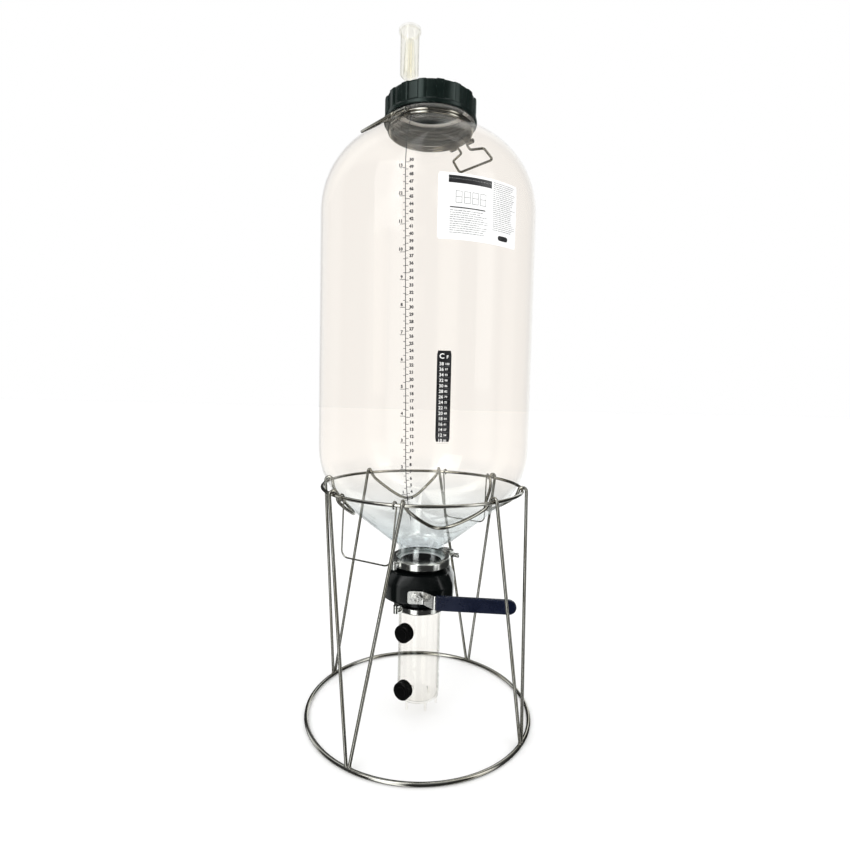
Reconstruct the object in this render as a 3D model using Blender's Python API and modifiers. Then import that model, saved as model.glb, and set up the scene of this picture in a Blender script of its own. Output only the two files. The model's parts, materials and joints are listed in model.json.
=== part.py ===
"""Conical fermenter: a clear tank that hangs cone-down in a wire stand.

Frame: origin on the floor under the tank's axis, +Z up, the valve lever in front on -Y.
All values are metres.  Every render-visible object is one separate piece.
"""
from math import asin, atan2, cos, pi, radians, sin, sqrt, tan

import bmesh
import bpy
from mathutils import Matrix, Vector

MM = 0.001
GAP = 0.3 * MM                     # clearance between pieces that touch

# --- tank -------------------------------------------------------------------
TANK_R = 179.2 * MM                # outer radius of the straight wall
TANK_WALL = 1.5 * MM
DOME_ARC = 136.7 * MM              # radius of the shoulder arc
DOME_Z = 857.8 * MM                # height where the shoulder starts
HEEL_ARC = 130.2 * MM              # radius of the arc between wall and cone
HEEL_Z = 472.3 * MM                # height where the heel starts
CONE_SLOPE = radians(39.3)         # cone wall above the horizontal
NECK_R = 66.0 * MM                 # threaded neck, outside
NECK_BORE = 61.5 * MM
NECK_TOP = 1040.5 * MM
THREAD_Z = 1032.5 * MM             # one turn of the neck thread stands for all of them
NECK_SHANK_R = 67.0 * MM           # plain shank that the wire collar sits on
SUPPORT_R = 76.0 * MM              # neck support ring
SUPPORT_Z = 1008.7 * MM
SHANK_LOW_Z = 993.5 * MM           # where the shank meets the shoulder
OUTLET_R = 40.0 * MM
OUTLET_BORE = 36.0 * MM
CONE_END = (56.6 * MM, 310.5 * MM)  # where the cone turns into the outlet
TANK_STEPS = 28

# --- wire stand ---------------------------------------------------------------
STAND_RING_R = 195.8 * MM          # base ring, to the rod's centre
STAND_ROD = 3.5 * MM               # base ring rod radius
TOP_RING_R = 172.4 * MM
TOP_RING_Z = 402.7 * MM
WIRE = 2.75 * MM                   # radius of the top ring and the leg rods
V_AZIMUTH = radians(58.5)          # first of the four foot points
LEG_SPREAD = (radians(20.5), radians(20.5), radians(22.3), radians(19.8))  # top of each V, half
LEG_TOE = radians(0.87)            # leg foot, each side of its foot point
HOOK_R = (2 * WIRE + 2 * GAP) / cos(pi / 8)  # bend over the top ring, to the rod's centre
CRADLE_LOW_Z = 357.0 * MM          # lowest point of the rods under the cone
CRADLE_GAP = 0.6 * MM

# --- drop handles of the stand ------------------------------------------------
DROP_WIRE = 1.3 * MM
DROP_TAPER = ((4.0 * MM, 4.0 * MM), (0.0, 6.0 * MM))  # each side leans in, back and front
DROP_HALF_ANGLE = radians(16.1)
DROP_AZIMUTH = (radians(58.5), radians(240.6))  # middle of the back and the front handle
DROP_LENGTH = 92.0 * MM
DROP_CORNER = 12.0 * MM
EYE_R = WIRE + 1.1 * MM + DROP_WIRE

# --- neck collar and carry handles ---------------------------------------------
COLLAR_WIRE = 2.2 * MM
COLLAR_R = NECK_SHANK_R + GAP + COLLAR_WIRE
COLLAR_Z = (1000.9 * MM, 1005.8 * MM)
PIVOT_AZIMUTH = radians(42.0)
PIVOT_Z = 1003.4 * MM
PIVOT_R = 75.9 * MM                # hinge line's distance from the tank axis
PIVOT_TUBE_R = 4.0 * MM
PIVOT_TUBE_SPAN = (15.6 * MM, 27.0 * MM)
HANDLE_WIRE = 2.1 * MM
HANDLE_DROOP = radians(34.0)       # rest angle of the handle below the horizontal
HANDLE_REACH = 45.0 * MM
HANDLE_SHOULDER = (38.0 * MM, 20.0 * MM)  # half width, and distance from the hinge line
HANDLE_HALF_GRIP = 41.0 * MM
HANDLE_BEND = 5.0 * MM

# --- lid -----------------------------------------------------------------------
LID_Z = 1012.0 * MM
LID_TOP = 1049.5 * MM
LID_FLANGE_R = 78.0 * MM
LID_R = 74.0 * MM
LID_BORE = 69.4 * MM
LID_PLATE = 5.2 * MM
LID_RIDGES = 16
RIDGE_WIDTH = 10.6 * MM
RIDGE_PROUD = 2.5 * MM
RIDGE_HEIGHT = 26.0 * MM
LID_HOLE_R = 9.3 * MM
SEAL_HEIGHT = 3.0 * MM
AIRLOCK_X = -37.0 * MM             # airlock hole, from the tank axis

# --- airlock ---------------------------------------------------------------------
STEM_R = 5.0 * MM
AIRLOCK_R = 15.7 * MM
AIRLOCK_BASE = 1091.6 * MM
AIRLOCK_RIM = 1162.0 * MM
AIRLOCK_WALL = 1.3 * MM
AIRLOCK_TOP = 1167.0 * MM
AIRLOCK_CAP_R = 18.6 * MM
BUBBLER_R = 10.5 * MM

# --- valve -------------------------------------------------------------------------
VALVE_Z = 226.0 * MM               # height of the stem
VALVE_BORE = 36.4 * MM
VALVE_OUTLET = 31.5 * MM
VALVE_HALF = 59.0 * MM             # half the width of the square bulge
VALVE_CHAMFER = 21.0 * MM
VALVE_TURN = radians(-5.0)         # the stem points a little to the left of the front
VALVE_NECK_R = 42.0 * MM
VALVE_TAIL_R = 44.0 * MM
BULGE_Z = (212.0 * MM, 239.0 * MM, 258.0 * MM)
DISC_R = 35.8 * MM
DISC_THICK = 5.0 * MM
LINER_R = 39.7 * MM
LINER_HALF = 11.2 * MM
SHAFT_R = 5.0 * MM
BUSH_R = 8.0 * MM
SHAFT_SPAN = (-51.0 * MM, 74.0 * MM)   # along the stem, the lever's end last
FRONT_BUSH = (42.0 * MM, 58.6 * MM)
BACK_BUSH = (-51.6 * MM, -41.0 * MM)
SHAFT_SEAL = (40.3 * MM, 41.6 * MM)
WASHER = (59.4 * MM, 61.0 * MM)
LEVER_PLATE = 3.0 * MM
LEVER_HALF = 10.8 * MM
LEVER_Y = -61.3 * MM               # inner face of the lever at the stem
LEVER_OFFSET = 18.0 * MM           # how far the grip steps out from the stem end
LEVER_START = -15.5 * MM
LEVER_STEP = 12.0 * MM             # where the strip starts to step outwards
LEVER_TIP = 162.0 * MM
NUT_R = 9.4 * MM
NUT_HEIGHT = 6.2 * MM
SLEEVE_START = 32.0 * MM
SLEEVE_HALF = 12.0 * MM
SLEEVE_THICK = 4.2 * MM            # half thickness

# --- ferrules and clamps --------------------------------------------------------------
UPPER_FLANGE_R = 45.5 * MM
LOWER_FLANGE_R = 38.75 * MM
UPPER_CLAMP_Z = 271.5 * MM
LOWER_CLAMP_Z = 192.9 * MM
UPPER_BAND = (52.5 * MM, 43.0 * MM, 7.4 * MM)  # outer radius, lip radius, half height
LOWER_BAND = (46.0 * MM, 36.4 * MM, 5.5 * MM)
CLAMP_AZIMUTH = (radians(40.0), radians(38.0))
TANK_FLANGE_Z = (UPPER_CLAMP_Z + 1.45 * MM, UPPER_CLAMP_Z + 5.0 * MM)
VALVE_TOP = UPPER_CLAMP_Z - 0.75 * MM
VALVE_LOW = LOWER_CLAMP_Z + 0.85 * MM
JAR_TOP = LOWER_CLAMP_Z - 1.15 * MM
UPPER_FLANGE_THICK = 3.4 * MM
LOWER_FLANGE_THICK = 2.2 * MM
PIN_R = 2.0 * MM
PIN_OVERHANG = 0.8 * MM
HINGE_OUT = 5.6 * MM               # hinge pin, out from the band
BOLT_PIN = (12.0 * MM, -8.0 * MM)  # bolt pin, out from the band and off the joint
LUG_OUT = 19.0 * MM
LUG_HALF = 7.0 * MM                # half height of the clamp lugs
SLOT_HALF = 3.4 * MM
NUT_FACE = 17.0 * MM               # bolt pin to the face that the wing nut bears on

# --- collection jar -------------------------------------------------------------------
JAR_R = 37.0 * MM
JAR_WALL = 2.0 * MM
JAR_FLOOR = 26.0 * MM
JAR_FOOT_Z = 12.0 * MM
JAR_FOOT_R = 2.4 * MM
JAR_FEET = 6
PORT_AZIMUTH = radians(240.0)
PORT_Z = (157.0 * MM, 57.0 * MM)
PORT_R = 12.2 * MM
PORT_END = 56.0 * MM
PORT_CAP_R = 15.3 * MM
PORT_CAP_SPAN = (45.0 * MM, 59.4 * MM)


# ============================== scene and materials ====================================

def clear_scene():
    for obj in list(bpy.data.objects):
        bpy.data.objects.remove(obj, do_unlink=True)


clear_scene()
PARTS = bpy.data.collections.new("conical_fermenter")
CUTTERS = bpy.data.collections.new("cutters")
bpy.context.scene.collection.children.link(PARTS)
bpy.context.scene.collection.children.link(CUTTERS)


def material(name, colour, roughness, metallic=0.0, alpha=1.0):
    made = bpy.data.materials.new(name)
    made.use_nodes = True
    shader = made.node_tree.nodes["Principled BSDF"]
    shader.inputs["Base Color"].default_value = (*colour, 1.0)
    shader.inputs["Roughness"].default_value = roughness
    shader.inputs["Metallic"].default_value = metallic
    shader.inputs["Alpha"].default_value = alpha
    made.diffuse_color = (*colour, alpha)
    return made


STEEL = material("stainless_rod", (0.72, 0.71, 0.68), 0.22, 1.0)
CLAMP_STEEL = material("polished_clamp", (0.78, 0.78, 0.76), 0.18, 1.0)
PET = material("clear_tank", (0.93, 0.95, 0.95), 0.05, alpha=0.25)
CLEAR = material("clear_moulding", (0.95, 0.95, 0.92), 0.08, alpha=0.35)
BLACK = material("black_moulding", (0.02, 0.02, 0.022), 0.35)
RUBBER = material("black_rubber", (0.03, 0.03, 0.03), 0.7)
SILICONE = material("white_silicone", (0.85, 0.85, 0.83), 0.5)
VINYL = material("navy_sleeve", (0.015, 0.02, 0.07), 0.3)
PAPER = material("white_label", (0.9, 0.9, 0.9), 0.45)
STRIP = material("black_strip", (0.02, 0.02, 0.02), 0.4)


# ================================= modelling helpers ====================================

def add(name, data, surface, collection=PARTS):
    obj = bpy.data.objects.new(name, data)
    collection.objects.link(obj)
    if surface is not None:
        data.materials.append(surface)
    if collection is CUTTERS:
        obj.hide_render = True
        obj.display_type = "WIRE"
    return obj


def pivot(name, location, rotation=(0.0, 0.0, 0.0)):
    """An empty on a joint's axis; the pieces that turn or slide there are its children."""
    obj = bpy.data.objects.new(name, None)
    obj.empty_display_size = 0.02
    obj.location = location
    obj.rotation_euler = rotation
    CUTTERS.objects.link(obj)
    obj.hide_render = True
    return obj


def hang(parent, *children):
    """Parent pieces that are modelled in place, without moving them."""
    bpy.context.view_layer.update()
    for child in children:
        child.parent = parent
        child.matrix_parent_inverse = parent.matrix_world.inverted()


def turned(name, profile, surface, segments=32, closed=True, collection=PARTS):
    """A profile of (radius, height) turned about Z; it runs down its outer side first."""
    mesh = bpy.data.meshes.new(name)
    edges = [(i, i + 1) for i in range(len(profile) - 1)]
    if closed:
        edges.append((len(profile) - 1, 0))
    mesh.from_pydata([(r, 0.0, z) for r, z in profile], edges, [])
    obj = add(name, mesh, surface, collection)
    screw = obj.modifiers.new("turn", "SCREW")
    screw.axis = "Z"
    screw.steps = segments
    screw.render_steps = segments
    screw.use_merge_vertices = True
    screw.merge_threshold = 0.00001
    screw.use_smooth_shade = True
    return obj


def ring(r_in, r_out, z_low, z_high):
    """Closed profile of a plain ring."""
    return [(r_out, z_high), (r_out, z_low), (r_in, z_low), (r_in, z_high)]


def arc(centre, radius, start, end, steps):
    """Points of an arc in the (radius, height) plane, both ends included."""
    span = [start + (end - start) * i / steps for i in range(steps + 1)]
    return [(centre[0] + radius * cos(a), centre[1] + radius * sin(a)) for a in span]


def along_y(obj, z):
    """Lay a piece turned about Z along Y: its own +Z then points to the front, -Y."""
    obj.rotation_euler = (pi / 2, 0.0, 0.0)
    obj.location = (0.0, 0.0, z)
    return obj


def box(name, low, high, surface=None, collection=CUTTERS):
    mesh = bpy.data.meshes.new(name)
    bm = bmesh.new()
    bmesh.ops.create_cube(bm, size=1.0)
    size = [h - l for l, h in zip(low, high)]
    middle = [(h + l) / 2 for l, h in zip(low, high)]
    bmesh.ops.scale(bm, vec=size, verts=bm.verts)
    bmesh.ops.translate(bm, vec=middle, verts=bm.verts)
    bm.to_mesh(mesh)
    bm.free()
    return add(name, mesh, surface, collection)


def cylinder(name, radius, start, end, surface=None, collection=CUTTERS, segments=20):
    """A cylinder between two points, as a primitive turned into place."""
    start, end = Vector(start), Vector(end)
    mesh = bpy.data.meshes.new(name)
    bm = bmesh.new()
    bmesh.ops.create_cone(bm, cap_ends=True, segments=segments, radius1=radius,
                          radius2=radius, depth=(end - start).length)
    turn = (end - start).to_track_quat("Z", "Y").to_matrix().to_4x4()
    bmesh.ops.transform(bm, matrix=Matrix.Translation((start + end) / 2) @ turn,
                        verts=bm.verts)
    bm.to_mesh(mesh)
    bm.free()
    return add(name, mesh, surface, collection)


def mesh_of_curve(obj, collection):
    """The evaluated mesh of a curve object, its caps welded, in the curve's place."""
    bpy.context.view_layer.update()
    evaluated = obj.evaluated_get(bpy.context.evaluated_depsgraph_get())
    mesh = bpy.data.meshes.new_from_object(evaluated)
    bm = bmesh.new()
    bm.from_mesh(mesh)
    bmesh.ops.remove_doubles(bm, verts=bm.verts, dist=0.00001)
    bm.to_mesh(mesh)
    bm.free()
    name = obj.name
    place = obj.matrix_world.copy()
    bpy.data.objects.remove(obj, do_unlink=True)
    made = add(name, mesh, None, collection)
    made.matrix_world = place
    return made


def prism(name, outline, z_low, z_high, surface=None, collection=CUTTERS):
    """A flat outline in plan, extruded between two heights, as a mesh."""
    curve = bpy.data.curves.new(name, "CURVE")
    curve.dimensions = "2D"
    curve.fill_mode = "BOTH"
    curve.extrude = (z_high - z_low) / 2
    spline = curve.splines.new("POLY")
    spline.points.add(len(outline) - 1)
    for point, (x, y) in zip(spline.points, outline):
        point.co = (x, y, 0.0, 1.0)
    spline.use_cyclic_u = True
    obj = add(name, curve, None, collection)
    obj.location = (0.0, 0.0, (z_low + z_high) / 2)
    made = mesh_of_curve(obj, collection)
    if surface is not None:
        made.data.materials.append(surface)
    return made


def wire(name, points, radius, surface, cyclic=False, resolution=2):
    """A bent rod: a poly spline with a round bevel and filled ends."""
    curve = bpy.data.curves.new(name, "CURVE")
    curve.dimensions = "3D"
    curve.bevel_depth = radius
    curve.bevel_resolution = resolution
    curve.use_fill_caps = True
    spline = curve.splines.new("POLY")
    spline.points.add(len(points) - 1)
    for point, place in zip(spline.points, points):
        point.co = (*place, 1.0)
    spline.use_cyclic_u = cyclic
    return add(name, curve, surface)


def rounded(points, radius, steps=3):
    """A polyline with each inner corner replaced by an arc of the given radius."""
    path = [Vector(points[0])]
    for before, corner, after in zip(points, points[1:], points[2:]):
        before, corner, after = Vector(before), Vector(corner), Vector(after)
        back, ahead = (before - corner).normalized(), (after - corner).normalized()
        half = back.angle(ahead) / 2
        reach = min(radius / tan(half), (before - corner).length / 2,
                    (after - corner).length / 2)
        bend = reach * tan(half)
        centre = corner + (back + ahead).normalized() * bend / sin(half)
        first, last = corner + back * reach - centre, corner + ahead * reach - centre
        sweep = first.angle(last)
        for i in range(steps + 1):
            t = i / steps
            blend = (first * sin((1 - t) * sweep) + last * sin(t * sweep)) / sin(sweep)
            path.append(centre + blend)
    path.append(Vector(points[-1]))
    return path


def boolean(obj, cutter, operation):
    modifier = obj.modifiers.new(cutter.name, "BOOLEAN")
    modifier.object = cutter
    modifier.operation = operation
    modifier.solver = "EXACT"


def polar(radius, azimuth, z):
    return Vector((radius * cos(azimuth), radius * sin(azimuth), z))


# ====================================== tank ===========================================

def tank_outline(inset=0.0):
    """Shoulder, wall, heel and cone from the neck down; inset gives the inner face."""
    dome_centre = (TANK_R - DOME_ARC, DOME_Z)
    heel_centre = (TANK_R - HEEL_ARC, HEEL_Z)
    neck_edge = NECK_SHANK_R + 4.5 * MM
    start = pi / 2 - asin((neck_edge - dome_centre[0]) / DOME_ARC)
    points = arc(dome_centre, DOME_ARC - inset, start, 0.0, 7)
    points += arc(heel_centre, HEEL_ARC - inset, 0.0, CONE_SLOPE - pi / 2, 5)
    points.append((CONE_END[0] - inset * sin(CONE_SLOPE),
                   CONE_END[1] + inset * cos(CONE_SLOPE)))
    return points


def heel_radius(z, offset=0.0):
    """Outer radius of the heel or cone at a height, grown by a normal offset."""
    centre_r = TANK_R - HEEL_ARC
    reach = HEEL_ARC + offset
    cone_start = HEEL_Z - reach * cos(CONE_SLOPE)
    if z >= cone_start:
        return centre_r + sqrt(reach ** 2 - (HEEL_Z - z) ** 2)
    return centre_r + reach * sin(CONE_SLOPE) - (cone_start - z) / tan(CONE_SLOPE)


def make_tank():
    def thread(z):
        return [(NECK_R, z + 1.4 * MM), (NECK_R + 2.2 * MM, z), (NECK_R + 2.2 * MM, z - 1.6 * MM),
                (NECK_R, z - 3.0 * MM)]

    flange_low, flange_top = TANK_FLANGE_Z
    outer = [(NECK_R - 1.0 * MM, NECK_TOP), (NECK_R, NECK_TOP - 1.0 * MM)]
    outer += thread(THREAD_Z)
    outer += [(NECK_R, SUPPORT_Z + 3.4 * MM), (SUPPORT_R - 1.0 * MM, SUPPORT_Z + 2.4 * MM),
              (SUPPORT_R, SUPPORT_Z + 1.2 * MM), (SUPPORT_R - 1.0 * MM, SUPPORT_Z),
              (NECK_SHANK_R, SUPPORT_Z - 0.5 * MM), (NECK_SHANK_R, SHANK_LOW_Z)]
    outer += tank_outline()
    outer += [(44.5 * MM, 305.4 * MM), (43.0 * MM, 301.8 * MM), (OUTLET_R, 300.0 * MM),
              (OUTLET_R, flange_top + 1.6 * MM), (UPPER_FLANGE_R, flange_top),
              (UPPER_FLANGE_R, flange_low)]
    inner = [(OUTLET_BORE, flange_low), (OUTLET_BORE + 0.6 * MM, 300.0 * MM),
             (45.0 * MM, 307.0 * MM)]
    inner += list(reversed(tank_outline(TANK_WALL)))
    inner += [(NECK_SHANK_R - 2.0 * MM, SHANK_LOW_Z - 4.0 * MM),
              (NECK_BORE, SHANK_LOW_Z + 0.5 * MM), (NECK_BORE, NECK_TOP)]
    return turned("tank", outer + inner, PET, TANK_STEPS)


def make_wrap(name, azimuth, width, z_low, z_high, surface):
    """A thin sheet that follows the tank wall, centred on an azimuth."""
    inner = TANK_R + GAP
    mesh = bpy.data.meshes.new(name)
    mesh.from_pydata([(inner, 0.0, z_high), (inner, 0.0, z_low)], [(0, 1)], [])
    obj = add(name, mesh, surface)
    angle = width / inner
    bend = obj.modifiers.new("wrap", "SCREW")
    bend.axis = "Z"
    bend.angle = angle
    bend.steps = 8
    bend.render_steps = 8
    bend.merge_threshold = 0.00001
    skin = obj.modifiers.new("skin", "SOLIDIFY")
    skin.thickness = 0.4 * MM
    skin.offset = 1.0
    obj.rotation_euler = (0.0, 0.0, azimuth - angle / 2)
    return obj


# ====================================== stand ==========================================

def ring_rod(name, radius, z, rod, surface, sides=8, steps=40):
    """A welded ring of round rod; its section has a flat at the bottom."""
    reach = rod / cos(pi / sides)
    section = [(radius + reach * cos(a), z + reach * sin(a))
               for a in (pi / sides * (1 - 2 * i) for i in range(sides))]
    return turned(name, section, surface, steps)


def leg_path(foot, side, spread):
    """A leg from its foot up, over the top ring and down inside it."""
    foot_z = 2 * STAND_ROD + 0.9 * MM
    lean = foot + side * spread
    points = [polar(STAND_RING_R, foot + side * LEG_TOE, foot_z)]
    for i in range(5):
        turn = pi * i / 4
        points.append(polar(TOP_RING_R + HOOK_R * cos(turn), lean,
                            TOP_RING_Z + HOOK_R * sin(turn)))
    return points


def cradle_path(start, end):
    """The rod's sag under the cone between two leg tops, lying just off the tank."""
    reach = WIRE + CRADLE_GAP
    steps = 12
    points = []
    for i in range(1, steps):
        t = 2 * i / steps - 1
        z = CRADLE_LOW_Z + (TOP_RING_Z - 3.0 * MM - CRADLE_LOW_Z) * t ** 2
        inner = TOP_RING_R - HOOK_R
        rest = heel_radius(z, reach)
        r = rest + (inner - rest) * abs(t) ** 6
        points.append(polar(r, start + (end - start) * i / steps, z))
    return points


def make_stand():
    ring_rod("stand_base_ring", STAND_RING_R, STAND_ROD, STAND_ROD, STEEL)
    ring_rod("stand_top_ring", TOP_RING_R, TOP_RING_Z, WIRE * cos(pi / 6), STEEL, 6)
    for i in range(4):
        foot, following = V_AZIMUTH + i * pi / 2, V_AZIMUTH + (i + 1) * pi / 2
        near, far = LEG_SPREAD[i], LEG_SPREAD[(i + 1) % 4]
        first, last = leg_path(foot, 1, near), leg_path(following, -1, far)
        bridge = cradle_path(foot + near, following - far)
        wire(f"stand_rod_{i + 1}", first + bridge + last[::-1], WIRE, STEEL, resolution=1)


def make_drop_handle(name, azimuth, taper):
    """A wire bail that hangs from the top ring by two eyes and swings about their line."""
    out = Vector((cos(azimuth), sin(azimuth), 0.0))
    side = Vector((-sin(azimuth), cos(azimuth), 0.0))
    up = Vector((0.0, 0.0, 1.0))
    half = TOP_RING_R * sin(DROP_HALF_ANGLE)
    centre = out * TOP_RING_R * cos(DROP_HALF_ANGLE) + up * TOP_RING_Z
    eye = [(out * cos(a) + up * sin(a)) * EYE_R
           for a in (radians(-70 + 250 * i / 9) for i in range(10))]
    drop = up * -DROP_LENGTH - out * EYE_R * 0.2
    arm_top = -out * EYE_R - up * 6.0 * MM
    bail = [centre - side * half + arm_top, centre - side * (half - taper[0]) + drop,
            centre + side * (half - taper[1]) + drop, centre + side * half + arm_top]
    path = [centre - side * half + point for point in eye]
    path += rounded(bail, DROP_CORNER)
    path += [centre + side * half + point for point in reversed(eye)]
    bail_wire = wire(name, path, DROP_WIRE, STEEL, resolution=1)
    hang(pivot(name + "_axis", centre), bail_wire)


# ============================== collar and carry handles ===============================

def make_collar():
    for name, z in zip(("neck_ring_lower", "neck_ring_upper"), COLLAR_Z):
        ring_rod(name, COLLAR_R, z, COLLAR_WIRE * cos(pi / 6), STEEL, 6, 28)


def make_carry_handle(name, azimuth):
    out = Vector((cos(azimuth), sin(azimuth), 0.0))
    side = Vector((-sin(azimuth), cos(azimuth), 0.0))
    up = Vector((0.0, 0.0, 1.0))
    hinge = out * PIVOT_R + up * PIVOT_Z
    lie = out * cos(HANDLE_DROOP) - up * sin(HANDLE_DROOP)
    near, far = PIVOT_TUBE_SPAN
    neck = near - HANDLE_BEND - 0.2 * MM
    half_shoulder, shoulder = HANDLE_SHOULDER
    outline = [(-far + 1.0 * MM, 0.0), (-neck, 0.0), (-neck, shoulder - 7.0 * MM),
               (-half_shoulder, shoulder), (-HANDLE_HALF_GRIP, HANDLE_REACH)]
    outline += [(-u, w) for u, w in reversed(outline)]
    path = rounded([hinge + side * u + lie * w for u, w in outline], HANDLE_BEND, 2)
    grip = wire(name, path, HANDLE_WIRE, STEEL, resolution=1)
    hang(pivot(name + "_axis", hinge), grip)
    for label, sign in (("left", -1), ("right", 1)):
        tube = turned(f"{name}_tube_{label}",
                      ring(HANDLE_WIRE + GAP, PIVOT_TUBE_R, near, far), STEEL, 12)
        tube.rotation_euler = (side * sign).to_track_quat("Z", "Y").to_euler()
        tube.location = hinge


# ================================ lid and airlock =======================================

def make_lid():
    plate_low = LID_TOP - LID_PLATE
    wall = [(0.0, LID_TOP), (LID_R - 3.0 * MM, LID_TOP), (LID_R, LID_TOP - 2.5 * MM),
            (LID_R, LID_Z + 7.5 * MM), (LID_FLANGE_R, LID_Z + 6.0 * MM), (LID_FLANGE_R, LID_Z),
            (LID_BORE + 2.6 * MM, LID_Z), (LID_BORE, LID_Z + 4.0 * MM), (LID_BORE, plate_low)]
    rib = [(56.0 * MM, plate_low), (54.0 * MM, plate_low - 4.0 * MM),
           (51.0 * MM, plate_low - 4.0 * MM), (50.0 * MM, plate_low), (0.0, plate_low)]
    lid = turned("lid", wall + rib, BLACK, 32, closed=False)
    mesh = bpy.data.meshes.new("lid_ridges")
    bm = bmesh.new()
    for i in range(LID_RIDGES):
        made = bmesh.ops.create_cube(bm, size=1.0)["verts"]
        size = (2 * RIDGE_PROUD, RIDGE_WIDTH, RIDGE_HEIGHT)
        bmesh.ops.scale(bm, vec=size, verts=made)
        middle = LID_TOP - 3.0 * MM - RIDGE_HEIGHT / 2
        bmesh.ops.translate(bm, vec=(LID_R, 0.0, middle), verts=made)
        turn = Matrix.Rotation((i + 0.5) * 2 * pi / LID_RIDGES, 3, "Z")
        bmesh.ops.rotate(bm, cent=(0, 0, 0), matrix=turn, verts=made)
    bm.to_mesh(mesh)
    bm.free()
    ridges = add("lid_ridges", mesh, None, CUTTERS)
    hole = cylinder("lid_hole", LID_HOLE_R, (AIRLOCK_X, 0, plate_low - 10 * MM),
                    (AIRLOCK_X, 0, LID_TOP + 10 * MM))
    boolean(lid, ridges, "UNION")
    boolean(lid, hole, "DIFFERENCE")
    seal_low = NECK_TOP + GAP
    seal = turned("lid_seal", ring(NECK_BORE - 3.0 * MM, LID_BORE - 1.0 * MM, seal_low,
                                   seal_low + SEAL_HEIGHT), SILICONE, 24)
    return lid, seal


def make_airlock():
    """A three-piece airlock: body with a centre tube, floating bubbler and cap."""
    plate_low = LID_TOP - LID_PLATE
    waist, lip = LID_HOLE_R - GAP, 11.5 * MM
    top, low = LID_TOP + 2.4 * MM, plate_low - 2.2 * MM
    grommet_profile = [(lip, top), (lip + 0.5 * MM, LID_TOP + GAP), (waist, LID_TOP + GAP),
                       (waist, plate_low - GAP), (lip, plate_low - GAP), (lip - 1.0 * MM, low),
                       (STEM_R + GAP, low), (STEM_R + GAP, top)]
    grommet = turned("airlock_grommet", grommet_profile, RUBBER, 14)
    tube_in, tube_out = STEM_R - 1.3 * MM, STEM_R
    inside = AIRLOCK_R - AIRLOCK_WALL
    rim = AIRLOCK_R + 1.0 * MM
    tube_top = AIRLOCK_RIM - 17.0 * MM
    tube_low = plate_low - 8.0 * MM
    well = AIRLOCK_BASE - 2.6 * MM
    body_profile = [(rim, AIRLOCK_RIM), (rim, AIRLOCK_RIM - 2.0 * MM),
                    (AIRLOCK_R, AIRLOCK_RIM - 3.0 * MM), (AIRLOCK_R, AIRLOCK_BASE),
                    (10.5 * MM, AIRLOCK_BASE - 4.2 * MM), (tube_out, AIRLOCK_BASE - 4.4 * MM),
                    (tube_out, tube_low), (tube_in, tube_low), (tube_in, tube_top),
                    (tube_out - 0.2 * MM, tube_top), (tube_out - 0.1 * MM, well),
                    (9.5 * MM, well), (inside, AIRLOCK_BASE + 1.0 * MM), (inside, AIRLOCK_RIM)]
    body = turned("airlock_body", body_profile, CLEAR, 16)
    bubble_top = AIRLOCK_RIM - 13.0 * MM
    bubble_low = AIRLOCK_BASE + 1.5 * MM
    bubble = [(0.0, bubble_top), (4.0 * MM, bubble_top),
              (BUBBLER_R - 2.5 * MM, bubble_top - 3.0 * MM), (BUBBLER_R, bubble_low),
              (BUBBLER_R - 1.2 * MM, bubble_low), (BUBBLER_R - 3.7 * MM, bubble_top - 2.6 * MM),
              (0.0, bubble_top - 2.6 * MM)]
    bubbler = turned("airlock_bubbler", bubble, CLEAR, 12, closed=False)
    skirt, skirt_low = rim + GAP, AIRLOCK_RIM - 2.2 * MM
    cap_profile = [(0.0, AIRLOCK_TOP), (AIRLOCK_CAP_R - 2.0 * MM, AIRLOCK_TOP),
                   (AIRLOCK_CAP_R, AIRLOCK_TOP - 1.6 * MM), (AIRLOCK_CAP_R, skirt_low),
                   (skirt, skirt_low), (skirt, AIRLOCK_RIM + 1.0 * MM),
                   (inside, AIRLOCK_TOP - 1.5 * MM), (0.0, AIRLOCK_TOP - 1.5 * MM)]
    cap = turned("airlock_cap", cap_profile, CLEAR, 16, closed=False)
    for piece in (grommet, body, bubbler, cap):
        piece.location = (AIRLOCK_X, 0.0, 0.0)
    return grommet, body, bubbler, cap


def make_top():
    lid, seal = make_lid()
    grommet, body, bubbler, cap = make_airlock()
    lid_axis = pivot("lid_axis", (0.0, 0.0, LID_Z))
    airlock_axis = pivot("airlock_axis", (AIRLOCK_X, 0.0, LID_TOP))
    hang(airlock_axis, body, bubbler, cap)
    hang(lid_axis, seal, lid, grommet, airlock_axis)


# ======================================= valve ==========================================

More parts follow.
